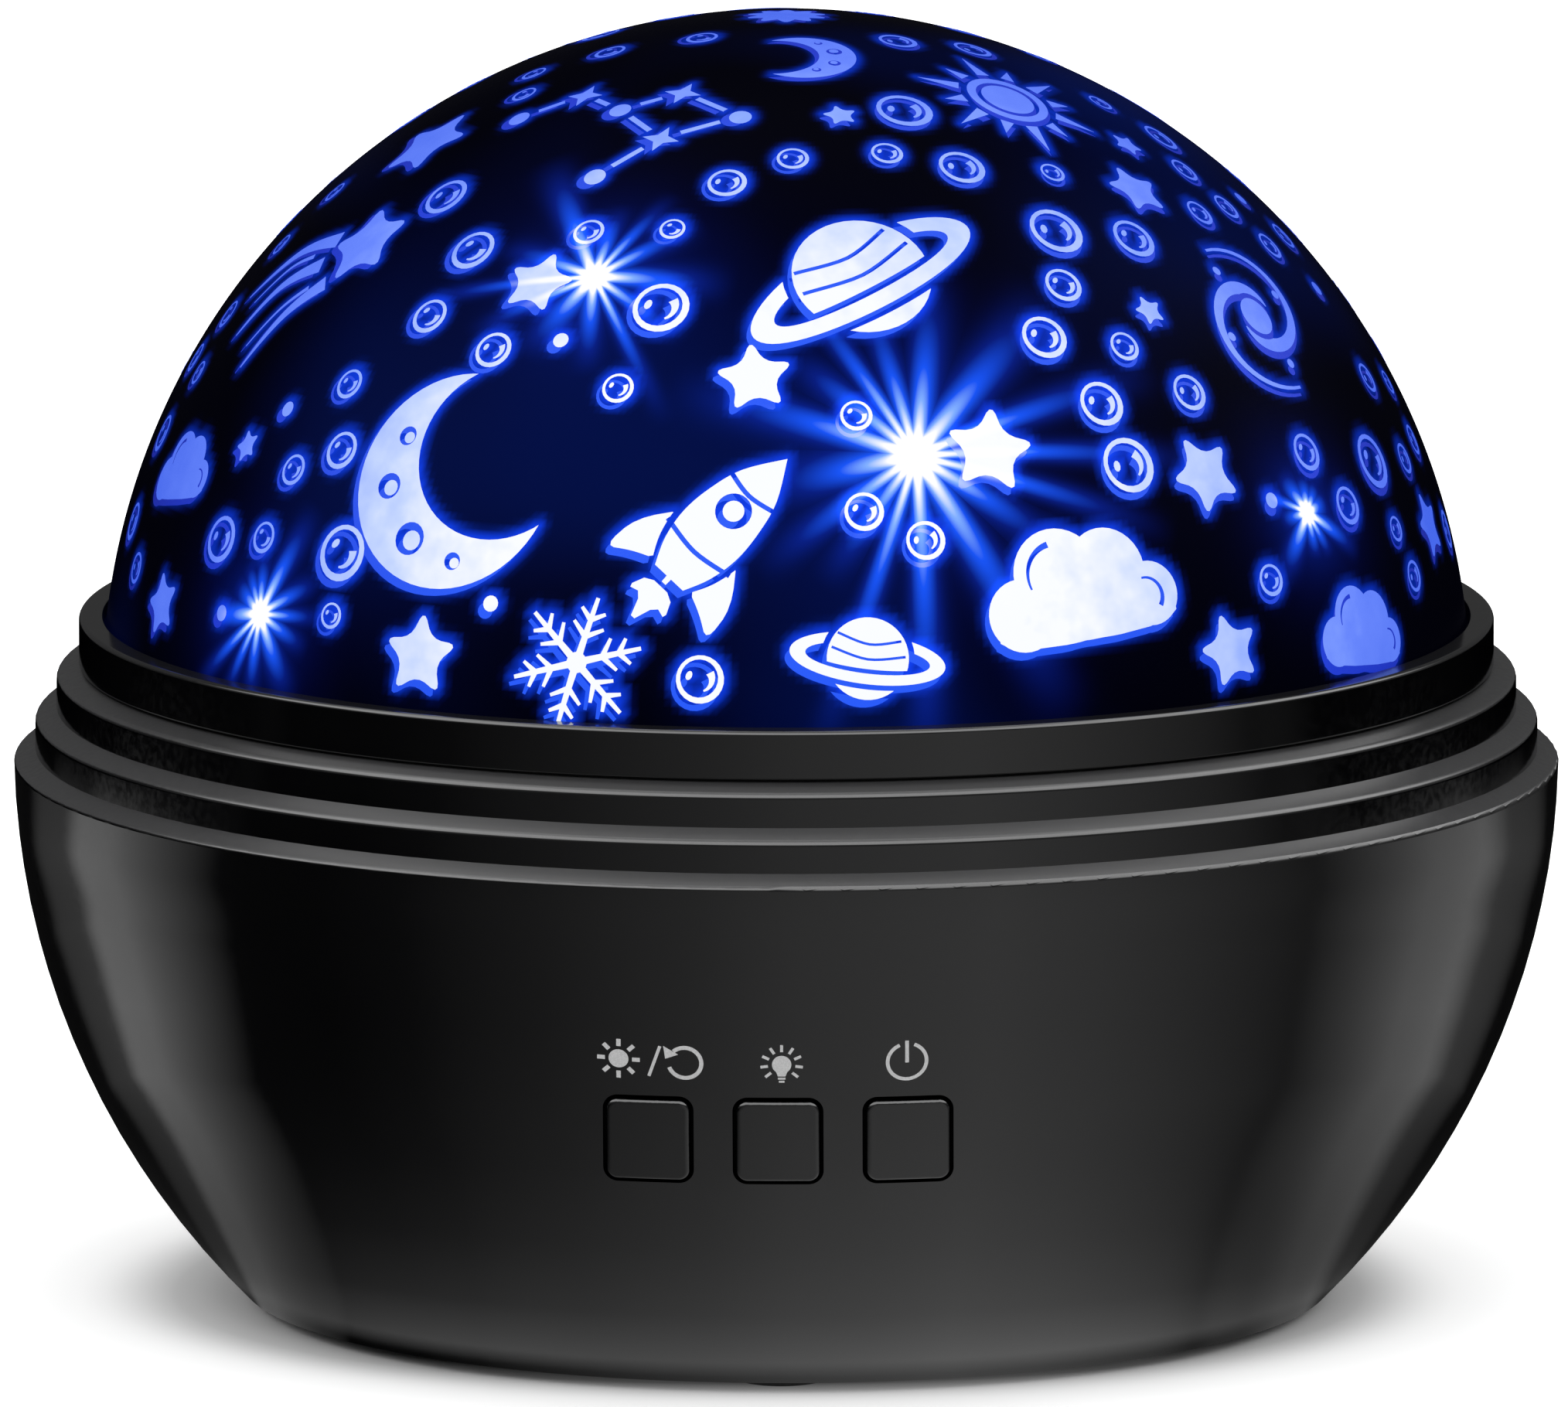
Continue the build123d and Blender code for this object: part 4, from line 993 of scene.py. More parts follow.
def scatter_places(prints, dome):
    """Places for the small prints on the front half, clear of the motifs and of each other."""
    taken = []
    for _, _, places in MOTIFS:
        for azimuth, elevation, size, _ in places:
            taken.append((compass(azimuth, elevation)[0], size * MOTIF_ROOM))
    for azimuth, elevation, core, _, _ in GLINTS:
        taken.append((compass(azimuth, elevation)[0], core * GLINT_ROOM))
    chance = np.random.default_rng(prints.scatter_seed)
    radius = dome.radius / MM
    found = []
    for _ in range(prints.scatter_count):
        kind = chance.choice(3, p=KIND_SHARES)
        size = (chance.choice(BUBBLE_RADII, p=BUBBLE_SHARES), DOT_RADIUS, SMALL_STAR_RADIUS)[kind]
        best, best_room = None, LEAST_ROOM
        for _ in range(TRIES):
            azimuth = chance.uniform(-90, 90)
            sine = chance.uniform(math.sin(math.radians(LOWEST)), HIGHEST_SINE)
            elevation = math.degrees(math.asin(sine))
            out = compass(azimuth, elevation)[0]
            room = radius * math.radians(elevation - COLLAR_EDGE) - size
            girth = radius * math.cos(math.radians(elevation))
            room = min(room, girth * math.radians(90 - abs(azimuth)) - size)
            for other, other_size in taken:
                room = min(room, radius * math.acos(np.clip(out @ other, -1, 1)) - size - other_size)
            if room > best_room:
                best, best_room = (azimuth, elevation, out), room
        if best is not None:
            azimuth, elevation, out = best
            taken.append((out, size))
            found.append((azimuth, elevation, size * MM, chance.uniform(-0.5, 0.5), int(kind)))
    return found


def at_points(wiring, points, pattern, **sockets):
    """The pattern object's shape at each point."""
    shape = wiring.signal("GeometryNodeObjectInfo", {0: pattern}, "Geometry", transform_space="ORIGINAL")
    inputs = {"Points": points, "Instance": shape, **sockets}
    return wiring.signal("GeometryNodeInstanceOnPoints", inputs)


def stored(wiring, name, kind="FLOAT"):
    """A value that the points carry under a name."""
    return wiring.signal("GeometryNodeInputNamedAttribute", {0: name}, data_type=kind)


def scatter_tree():
    """A geometry tree that lays a print at each point of a ball, with the size and turn that it carries."""
    numbers = ("Ball radius", "Centre height", "Shift right", "Shift up")
    inputs = {"Print": "Object", **dict.fromkeys(numbers, "Float"), "Ink": "Material"}
    tree, wiring, given = geometry_tree("prints on a ball", inputs)
    upright = (0.0, 0.0, 1.0)
    middle = wiring.join(z=given["Centre height"])
    place = wiring.signal("GeometryNodeInputPosition")
    out = place.vector("SUBTRACT", middle).vector("NORMALIZE")
    axes = {"primary_axis": "Z", "secondary_axis": "Y"}
    facing = wiring.signal("FunctionNodeAxesToRotation", {0: out, 1: upright}, **axes)
    spin = wiring.signal("FunctionNodeAxisAngleToRotation", {0: upright, 1: stored(wiring, "turn")})
    heading = wiring.signal("FunctionNodeRotateRotation", {0: facing, 1: spin}, rotation_space="LOCAL")
    shift = wiring.join(given["Shift right"], given["Shift up"])
    aside = wiring.signal("FunctionNodeRotateVector", {0: shift, 1: facing})
    moved_on = {"Geometry": given["Geometry"], "Offset": aside}
    points = wiring.signal("GeometryNodeSetPosition", moved_on)
    size = stored(wiring, "size")
    laid = at_points(wiring, points, given["Print"], Rotation=heading, Scale=wiring.join(size, size, size))
    real = wiring.signal("GeometryNodeRealizeInstances", {0: laid})
    scaled = wiring.signal("ShaderNodeVectorMath", {0: out, 3: given["Ball radius"]}, operation="SCALE")
    on_ball = {"Geometry": real, "Position": scaled.vector("ADD", middle)}
    close_tree(wiring, wiring.signal("GeometryNodeSetPosition", on_ball), given["Ink"])
    return tree


def gathered(name, pieces, kept=lambda face: True):
    """One mesh object from the kept faces of several, and the number of each face's piece."""
    points, faces, layers = [], [], []
    for layer, piece in enumerate(pieces):
        first = len(points)
        points += [tuple(v.co) for v in piece.data.vertices]
        wanted = [tuple(first + i for i in face.vertices) for face in piece.data.polygons if kept(face)]
        faces += wanted
        layers += [layer] * len(wanted)
    return raw_mesh(name, points, faces), layers


class NIGHTLIGHT_OT_small_prints(bpy.types.Operator):
    """Scatters bubbles, dots and small stars between the larger prints"""

    bl_idname = "nightlight.small_prints"
    bl_label = "Small prints"

    def execute(self, context):
        settings = context.scene.night_light
        dome, prints = settings.dome, settings.prints
        found = scatter_places(prints, dome)
        tree = scatter_tree()
        inks = print_inks()
        # name, shape, and the spacing of its inner corners for a radius of one
        kinds = (("bubbles", bubble_shape, 0.9), ("dots", dot_shape, 2.0), ("small_stars", star_shape, 0.9))
        for kind, (name, shape, spacing) in enumerate(kinds):
            rows = [row[:4] for row in found if row[4] == kind]
            if not rows:
                raise RuntimeError("no room was found for any of the " + name)
            corners, triangles = inked_faces(shape(), spacing)
            flat = np.column_stack((corners, np.zeros(len(corners))))
            pattern = raw_mesh("pattern_" + name, flat, triangles)
            layers = []
            for ink_used, (top, shift) in zip(inks, ink_layers(prints)):
                spots = [(azimuth + half, *rest) for azimuth, *rest in rows for half in BOTH_HALVES]
                middle = (0, 0, dome.centre_height)
                points = [compass(*spot[:2])[0] * dome.radius + middle for spot in spots]
                seed = raw_mesh("seed_" + name, points)
                for value, column in (("size", 2), ("turn", 3)):
                    carried = seed.data.attributes.new(value, "FLOAT", "POINT")
                    carried.data.foreach_set("value", [spot[column] for spot in spots])
                values = {
                    "Print": pattern,
                    "Ball radius": dome.radius + top,
                    "Centre height": dome.centre_height,
                    "Shift right": shift[0],
                    "Shift up": shift[1],
                    "Ink": ink_used,
                }
                layers.append(grow("layer_" + name, tree, seed, values))
            piece, places = gathered("print_" + name, layers)
            layered(piece, inks, places)
            for used in (pattern, *layers):
                bpy.data.objects.remove(used)
            thicken(piece, prints.ink_thickness)
            settle(piece, "film_cap")
        return {"FINISHED"}


def dome_profile(dome):
    """Radius and height along the dome's section: pole, outside, flange, inside, pole."""
    outer, inner = dome.radius, dome.radius - dome.thickness
    edge, top, bottom = dome.flange_radius, dome.flange_top, dome.flange_bottom
    ease = 0.12 * MM
    inside_rows = 18

    def curve(radius, height, rows):
        """From a height on a ball up to its pole."""
        start = math.asin((height - dome.centre_height) / radius)
        turns = [start + (math.pi / 2 - start) * i / rows for i in range(rows + 1)]
        line = [(radius * math.cos(t), dome.centre_height + radius * math.sin(t)) for t in turns]
        return [*line[:-1], (0.0, dome.centre_height + radius)]

    return [
        *curve(outer, top, dome.rows)[::-1],
        (edge - ease, top),
        (edge, top - ease),
        (edge, bottom + ease),
        (edge - ease, bottom),
        *curve(inner, bottom, inside_rows),
    ]


def turned(wiring, section, columns):
    """The closed shell that a section, a line in the plane of x and z, leaves as it turns round z."""
    rows = wiring.signal("GeometryNodeAttributeDomainSize", {0: section}, component="MESH")
    size = {"Size X": 1.0, "Size Y": 1.0, "Vertices X": columns + 1.0, "Vertices Y": rows}
    grid = wiring.signal("GeometryNodeMeshGrid", size)
    place = wiring.signal("GeometryNodeInputPosition")
    across, down, _ = place.split()
    turn = (across + 0.5) * math.tau
    row = ((down + 0.5) * (rows - 1.0)).math("ROUND")
    corner = wiring.signal(
        "GeometryNodeSampleIndex",
        {"Geometry": section, "Value": place, "Index": row},
        data_type="FLOAT_VECTOR",
        domain="POINT",
    )
    reach, _, height = corner.split()
    bent = wiring.join(reach * turn.math("SINE"), reach * turn.math("COSINE"), height)
    shell = wiring.signal("GeometryNodeSetPosition", {"Geometry": grid, "Position": bent})
    closed = wiring.signal("GeometryNodeMergeByDistance", {"Geometry": shell, "Distance": 1e-6})
    return wiring.signal("GeometryNodeSetShadeSmooth", {"Geometry": closed, "Shade Smooth": True})


def dome_tree():
    """A geometry tree that turns a section into a shell and stores how near each corner is to a print."""
    inputs = {"Columns": "Int", "Prints": "Object", "Halo reach": "Float", "Skin": "Material"}
    tree, wiring, given = geometry_tree("turned film", inputs)
    closed = turned(wiring, given["Geometry"], given["Columns"])
    prints = wiring.signal("GeometryNodeObjectInfo", {0: given["Prints"]}, "Geometry")
    distance = wiring.signal("GeometryNodeProximity", {0: prints}, "Distance", target_element="FACES")
    glow = ((distance / given["Halo reach"]) ** 2.0 * -1.0).math("EXPONENT")
    named = {"Geometry": closed, "Name": "glow", "Value": glow}
    lit = wiring.signal("GeometryNodeStoreNamedAttribute", named, data_type="FLOAT", domain="POINT")
    close_tree(wiring, lit, given["Skin"])
    return tree


def ring_tree():
    """A geometry tree that turns a section into a closed ring."""
    tree, wiring, given = geometry_tree("turned ring", {"Columns": "Int", "Skin": "Material"})
    close_tree(wiring, turned(wiring, given["Geometry"], given["Columns"]), given["Skin"])
    return tree


def face_outwards(mesh):
    """Merges the doubles of a mesh and turns its faces outwards, and stops where it isn't closed."""
    work = bmesh.new()
    work.from_mesh(mesh)
    bmesh.ops.remove_doubles(work, verts=work.verts, dist=1e-7)
    if any(not edge.is_manifold for edge in work.edges):
        raise RuntimeError(mesh.name + " has an open edge")
    bmesh.ops.recalc_face_normals(work, faces=work.faces)
    if work.calc_volume(signed=True) < 0:
        bmesh.ops.reverse_faces(work, faces=work.faces)
    work.to_mesh(mesh)
    work.free()


class NIGHTLIGHT_OT_film_dome(bpy.types.Operator):
    """Makes the lit film dome in place of the plain one"""

    bl_idname = "nightlight.film_dome"
    bl_label = "Film dome"

    def execute(self, context):
        dome = context.scene.night_light.dome
        section = section_line([(reach, 0.0, height) for reach, height in dome_profile(dome)])
        prints = [piece for piece in bpy.data.objects if piece.name.startswith("print_")]
        guide, _ = gathered("prints_guide", prints, lambda face: face.material_index == 0)
        values = {
            "Columns": dome.columns,
            "Prints": guide,
            "Halo reach": dome.halo_reach,
            "Skin": film_material(dome),
        }
        piece = grow("lit_dome", dome_tree(), section, values)
        bpy.data.objects.remove(guide)
        face_outwards(piece.data)
        piece.data.polygons.foreach_set("use_smooth", [True] * len(piece.data.polygons))
        settle(piece, "film_cap")
        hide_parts("film_dome")
        return {"FINISHED"}


# The key symbols


def sun_symbol(x):
    rays = (spun(ribbon([(1.12, 0), (1.76, 0)], 0.36), math.tau * i / 8) for i in range(8))
    return ink(circle(x, 0, 0.82, 32), *(moved(ray, x) for ray in rays))


def turn_symbol(x):
    """An open ring whose end is an arrow head."""
    head = [(x - 1.78, 1.42), (x - 1.62, 0.28), (x - 0.56, 0.72)]
    return ink(ribbon(arc(x, 0, 1.36, -160, 134, 40), 0.34), head)


def bulb_symbol(x):
    shapes = ink(circle(x, 0.06, 0.8, 32), ribbon([(x, -0.5), (x, -1.0)], 1.0, 0.62))
    for width, height in ((0.62, -1.2), (0.46, -1.48)):
        shapes += ink(ribbon([(x - width / 2, height), (x + width / 2, height)], 0.17))
    for i in range(9):
        ray = spun(ribbon([(1.14, 0), (1.76, 0)], 0.24), math.radians(-40 + 32.5 * i))
        shapes += ink(moved(ray, x, 0.06))
    return shapes


def power_symbol(x):
    return ink(ribbon(arc(x, 0, 1.6, 112, 428, 44), 0.3), ribbon([(x, 1.86), (x, -0.1)], 0.3))


def symbol_material(keys):
    """Matt grey pad-printing ink."""
    material, place = new_material("symbol_ink")
    fine = place.noise(9000.0, 4.0)
    sockets = {
        "Base Color": fine.spread(0.3, 0.75).mix(screen(188, 188, 188), keys.ink_colour),
        "Roughness": fine.vary(0.45, 0.65),
        "Normal": fine.bump(0.01 * MM, 0.4),
    }
    return close_material(material, sockets)


class NIGHTLIGHT_OT_key_symbols(bpy.types.Operator):
    """Prints the function symbols over the three keys"""

    bl_idname = "nightlight.key_symbols"
    bl_label = "Key symbols"

    def execute(self, context):
        keys = context.scene.night_light.keys
        finish = symbol_material(keys)
        proud, thickness = 0.02 * MM, 0.03 * MM
        slash = ink(ribbon([(-10.62, -1.38), (-9.71, 1.38)], 0.26))
        groups = (
            ("symbol_left", sun_symbol(-13.12) + slash + turn_symbol(-7.65)),
            ("symbol_middle", bulb_symbol(0.32)),
            ("symbol_right", power_symbol(10.63)),
        )
        for name, shapes in groups:
            corners, triangles = inked_faces(sized(shapes, MM), 1.2 * MM)
            corners[:, 0] = np.arcsin(corners[:, 0] / keys.bowl_radius) * keys.bowl_radius
            elevation = math.degrees(keys.row_elevation)
            points = wrapped(corners, 0, elevation, keys.bowl_radius, proud, keys.bowl_centre)
            piece = raw_mesh(name, points, triangles)
            piece.data.materials.append(finish)
            thicken(piece, thickness)
            settle(piece, "base")
        return {"FINISHED"}


# The screws


def screw_outline(head_radius, head_height, shank_radius, length):
    """Rings of (radius, height) from the rim of the head down the thread to its last turn."""
    pitch, depth, rim = 0.8 * MM, 0.16 * shank_radius, 0.25 * head_height
    side = ((head_radius - rim, 0.0), (head_radius, rim), (head_radius, head_height))
    rings = [[spot] * SCREW_COLUMNS for spot in (*side, (shank_radius, head_height))]
    steps = int((length - head_height) / (pitch / 5))
    for i in range(1, steps + 1):
        z = head_height + (length - head_height) * i / (steps + 1)
        taper = min(1.0, (length - z) / (1.6 * shank_radius) + 0.25)
        ring = []
        for k in range(SCREW_COLUMNS):
            phase = (z / pitch + k / SCREW_COLUMNS) % 1.0
            ring.append(((shank_radius - depth * abs(2 * phase - 1)) * taper, z))
        rings.append(ring)
    return rings


def screw_pattern(name, head_radius, head_height, shank_radius, length):
    """A cross-head screw with its tip up: the top of its head at zero, its tip at the length."""
    columns = SCREW_COLUMNS
    points, faces = [], []
    for ring in screw_outline(head_radius, head_height, shank_radius, length):
        for k, (r, z) in enumerate(ring):
            turn = math.tau * k / columns
            points.append((r * math.cos(turn), r * math.sin(turn), z))
    last = len(points) - columns
    for first in range(0, last, columns):
        for k in range(columns):
            a, b = first + k, first + (k + 1) % columns
            faces.append((a, a + columns, b + columns, b))
    points.append((0.0, 0.0, length))
    faces += [(last + k, len(points) - 1, last + (k + 1) % columns) for k in range(columns)]
    arm, wide = 0.58 * head_radius, 0.13 * head_radius
    cross = []
    for quarter in range(4):
        cross += spun(((wide, wide), (wide, arm), (-wide, arm)), math.pi / 2 * quarter)
    disc = [p[:2] for p in points[:columns]]
    corners, top = inked_faces(ink(disc) + clear(cross), 0.45 * head_radius)
    first = len(points)
    points += [(x, y, 0.0) for x, y in corners]
    faces += [tuple(first + i for i in triangle[::-1]) for triangle in top]
    first, count = len(points), len(cross)
    sink, taper = 0.62 * head_height, 0.82
    points += [(x, y, 0.0) for x, y in cross] + [(x * taper, y * taper, sink) for x, y in cross]
    for k in range(count):
        after = (k + 1) % count
        faces.append((first + k, first + count + k, first + count + after, first + after))
    faces.append(tuple(first + count + k for k in range(count)))
    pattern = raw_mesh(name, points, faces)
    face_outwards(pattern.data)
    return pattern


def screw_tree():
    """A geometry tree that sets a screw at each point, along the point's own direction."""
    tree, wiring, given = geometry_tree("set screws", {"Screw": "Object", "Finish": "Material"})
    axis = stored(wiring, "axis", "FLOAT_VECTOR")
    facing = wiring.signal("FunctionNodeAlignRotationToVector", {"Vector": axis}, axis="Z")
    laid = at_points(wiring, given["Geometry"], given["Screw"], Rotation=facing)
    close_tree(wiring, laid, given["Finish"])
    return tree


class NIGHTLIGHT_OT_screws(bpy.types.Operator):
    """Sets cross-head screws in place of the plain ones"""

    bl_idname = "nightlight.screws"
    bl_label = "Screws"

    def execute(self, context):
        tree = screw_tree()
        finish = surface("zinc_plate", (120, 121, 124), (168, 169, 172), 0.34, 0.1, 3000, 0.004, 1.0)
        small = (1.85, 1.0, 0.88)
        corners = [(x, y, 1.12) for x in (-28.28, 28.28) for y in (-28.28, 28.28)]
        # name, radius and height of the head, radius of the shank, length, places and direction, all in mm
        groups = (
            ("case_screws", (2.55, 1.1, 1.38, 12.28), corners, (0, 0, 1)),
            ("board_screws", (*small, 8.56), [(x, -44.46, 24.15) for x in (-18.6, 18.6)], (0, -1, 0)),
            ("inlet_screws", (*small, 8.56), [(x, 45.39, 24.0) for x in (-11.0, 11.0)], (0, 1, 0)),
            ("motor_screws", (*small, 5.56), [(30.0, y, 40.34) for y in (-16.0, 16.0)], (0, 0, 1)),
        )
        for name, sizes, places, axis in groups:
            pattern = screw_pattern("pattern_" + name, *(value * MM for value in sizes))
            seed = raw_mesh("seed_" + name, [tuple(v * MM for v in place) for place in places])
            heading = seed.data.attributes.new("axis", "FLOAT_VECTOR", "POINT")
            heading.data.foreach_set("vector", [float(v) for _ in places for v in axis])
            piece = grow("cross_" + name, tree, seed, {"Screw": pattern, "Finish": finish})
            bpy.data.objects.remove(pattern)
            settle(piece, "base")
            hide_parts(name)
        return {"FINISHED"}


# Finishes of the pieces that keep their shape

# name, darker and lighter colour, roughness and how uneven it is, grains to the metre, their depth in mm,
# metal, stretch of the grain
SATIN_BLACK = ("satin_black_mould", (20, 20, 21), (28, 28, 30), 0.5, 0.08, 5200, 0.02)
RUBBER = ("foot_rubber", (38, 38, 38), (52, 52, 52), 0.82, 0.08, 3800, 0.03)
NICKEL = ("nickel_strip", (176, 175, 170), (206, 205, 199), 0.26, 0.08, 2600, 0.003, 1.0, (0.15, 1.0, 1.0))
DRAWN_STEEL = ("drawn_can", (150, 152, 154), (186, 188, 190), 0.3, 0.09, 2400, 0.004, 1.0, (1.0, 1.0, 0.08))
BRASS = ("turned_brass", (196, 160, 92), (224, 190, 118), 0.24, 0.08, 2600, 0.003, 1.0)
BLACK_PART = ("black_component", (30, 30, 31), (42, 42, 43), 0.48, 0.08, 6000, 0.012)
NYLON = ("natural_nylon", (222, 219, 206), (236, 233, 222), 0.4, 0.08, 2600, 0.01)


def paint(finish, *names):
    """Gives nodes of the frame a finish, in place of their plain one."""
    for name in names:
        mesh = frame["nodes"][name].data
        mesh.materials.clear()
        mesh.materials.append(finish)


def numbered(name, count):
    return [name + "_%d" % (i + 1) for i in range(count)]


def gloss_material(name, roughness, peel, keys, skin):
    """Polished black with a slight orange peel. Its upward ledges are rougher and painted lighter grey, a
    painted sheen; inside the bowl's ball it is painted black and dull, a painted shade.
    """
    material, place = new_material(name)
    height = place.split()[2]
    deck = height.math("GREATER_THAN", DECK_HEIGHT)
    out = place.vector("SUBTRACT", (0, 0, keys.bowl_centre)).vector("LENGTH")
    # Painted shade: within the ball's skin, on the walls of the key windows and the sides of the keys, the
    # colour goes black and the gloss dull and rough
    sunk = out.spread(keys.bowl_radius - 4 * skin, keys.bowl_radius - skin, 1.0, 0.0) * (1.0 - deck)
    upward = place.wiring.signal("ShaderNodeNewGeometry", {}, "Normal").split()[2]
    below_collar = height.spread(COLLAR_HEIGHT, COLLAR_HEIGHT + 1 * MM, 1.0, 0.3)
    # Painted sheen: upward ledges of the deck get a lighter grey for the light above that they mirror,
    # fainter on the collar; they are rougher too
    ledge = upward.spread(0.3, 0.62) * deck * below_collar
    body = place.noise(60.0, 2.0).mix(screen(2, 2, 3), screen(5, 5, 6))
    painted_ledge_sheen = place.noise(2500.0).mix(screen(54, 54, 55), screen(61, 61, 62))
    even = place.noise(1400.0, 3.0).vary(roughness - 0.025, roughness + 0.025)
    sockets = {
        "Base Color": sunk.mix(ledge.mix(body, painted_ledge_sheen), screen(1, 1, 1)),
        "Roughness": ledge.math("MAXIMUM", sunk) * 0.2 + even,
        "Normal": place.noise(260.0, 2.0).bump(peel),
        "Specular IOR Level": sunk * (SUNK_SPECULAR - GLOSS_SPECULAR) + GLOSS_SPECULAR,
    }
    close_material(material, sockets)
    material.node_tree.nodes["Principled BSDF"].inputs["Specular IOR Level"].default_value = GLOSS_SPECULAR
    return material


def cell_material(name, heading):
    """A battery cell: steel ends, a slate sleeve with a pale band towards its plus end."""
    material, place = new_material(name)
    half = CELL_LENGTH / 2
    share = (place.split()[0] * heading).spread(-half, half, kind="LINEAR")
    steel, sleeve_start, sleeve_end = screen(176, 178, 180), 0.018, 0.965
    stops = (
        (0.0, steel),
        (sleeve_start, screen(52, 66, 84)),
        (0.7, screen(190, 194, 198)),
        (0.74, screen(74, 92, 112)),
        (sleeve_end, steel),
    )
    scuffs = place.noise(900.0, 4.0)
    sockets = {
        "Base Color": (scuffs * 0.25).mix(share.ramp(stops, "CONSTANT"), screen(30, 34, 40)),
        "Metallic": share.ramp(((0.0, 1.0), (sleeve_start, 0.0), (sleeve_end, 1.0)), "CONSTANT"),
        "Roughness": scuffs.vary(0.22, 0.42),
    }
    return close_material(material, sockets)


def board_material():
    """Green circuit board with lighter tracks and tinned pads."""
    material, place = new_material("board_mask")
    _, y, z = place.split()
    lanes = ((z + y) * 790.0).math("FRACT")
    lane = (lanes - 0.5).math("ABSOLUTE").spread(0.14, 0.2, 1.0, 0.0)
    blocks = {"Vector": place.vector("MULTIPLY", (140.0, 500.0, 500.0)), "Scale": 1.0}
    broken = place.wiring.signal("ShaderNodeTexVoronoi", blocks, "Color", distance="CHEBYCHEV")
    tracks = lane * place.wiring.signal("ShaderNodeSeparateColor", {0: broken}).math("GREATER_THAN", 0.45)
    holes = {"Vector": place, "Scale": 330.0, "Randomness": 0.4}
    pads = place.wiring.signal("ShaderNodeTexVoronoi", holes, "Distance").spread(0.16, 0.2, 1.0, 0.0)
    mask = place.noise(400.0).mix(screen(12, 84, 44), screen(16, 100, 54))
    sockets = {
        "Base Color": pads.mix(tracks.mix(mask, screen(44, 138, 78)), screen(186, 186, 180)),
        "Metallic": pads * 0.9,
        "Roughness": tracks.spread(0.0, 1.0, 0.32, 0.24),
        "Normal": tracks.math("MAXIMUM", pads).bump(0.04 * MM, 0.6),
    }
    return close_material(material, sockets)


def clear_material(name, colour, roughness, glow=None):
    """Clear or tinted cast plastic with faint flow lines. Glow holds the light sockets of a lit one."""
    material, place = new_material(name)
    flow = place.vector("MULTIPLY", (1.0, 1.0, 3.0)).noise(500.0, 3.0)
    sockets = {
        "Base Color": (*colour, 1.0),
        "Roughness": flow.vary(roughness, roughness + 0.06),
        "Normal": flow.bump(0.01 * MM, 0.5),
        "Transmission Weight": 0.92,
        "IOR": 1.49,
        **(glow or {}),
    }
    return close_material(material, sockets)


class NIGHTLIGHT_OT_housing(bpy.types.Operator):
    """Finishes the bowl, the deck, the keys, the base plate and the feet"""

    bl_idname = "nightlight.housing"
    bl_label = "Housing finishes"

    def execute(self, context):
        keys = context.scene.night_light.keys
        gloss = gloss_material("gloss_black_shell", 0.1, 0.0012 * MM, keys, 0.1 * MM)
        paint(gloss, "bowl_shell", "deck_cover")
        caps = gloss_material("gloss_black_cap", 0.13, 0.0008 * MM, keys, 0.04 * MM)
        paint(caps, *numbered("button_cap", 3))
        paint(surface(*SATIN_BLACK), "base_plate", "battery_door", "clamp_ring", "turntable", "lamp_holder")
        paint(surface(*RUBBER), *numbered("rubber_foot", 4))
        return {"FINISHED"}


def eased(corners):
    """A closed section from (radius, height, rounding) at each square corner, all in mm."""
    line = []
    lead = 0.03
    for i, (reach, height, rounding) in enumerate(corners):
        here = Vector((reach, height))
        before = (Vector(corners[i - 1][:2]) - here).normalized()
        after = (Vector(corners[(i + 1) % len(corners)][:2]) - here).normalized()
        steps = 3 + round(12 * rounding)
        bend = []
        for k in range(steps + 1):
            turn = math.pi / 2 * k / steps
            bend.append(here + rounding * (before * (1 - math.sin(turn)) + after * (1 - math.cos(turn))))
        line += [bend[0] + before * lead, *bend, bend[-1] + after * lead]
    return [(point.x * MM, 0.0, point.y * MM) for point in [*line, line[0]]]


class NIGHTLIGHT_OT_collar(bpy.types.Operator):
    """Makes the collar with an even, rounded shoulder in place of the plain one"""

    bl_idname = "nightlight.collar"
    bl_label = "Collar"

    def execute(self, context):
        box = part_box("collar_ring")
        low, high, outer = box[0].z / MM, box[1].z / MM, box[1].x / MM
        bore, lip, seat = outer - 1.0, outer - 2.02, high - 1.2
        corners = (
            (bore, low, 0.12),
            (outer, low, 0.12),
            (outer, high, 0.4),
            (lip, high, 0.12),
            (lip, seat, 0.05),
            (bore, seat, 0.05),
        )
        values = {"Columns": 420, "Skin": bpy.data.materials["gloss_black_shell"]}
        piece = grow("eased_collar", ring_tree(), section_line(eased(corners)), values)
        face_outwards(piece.data)
        settle(piece, "film_cap")
        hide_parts("collar_ring")
        return {"FINISHED"}


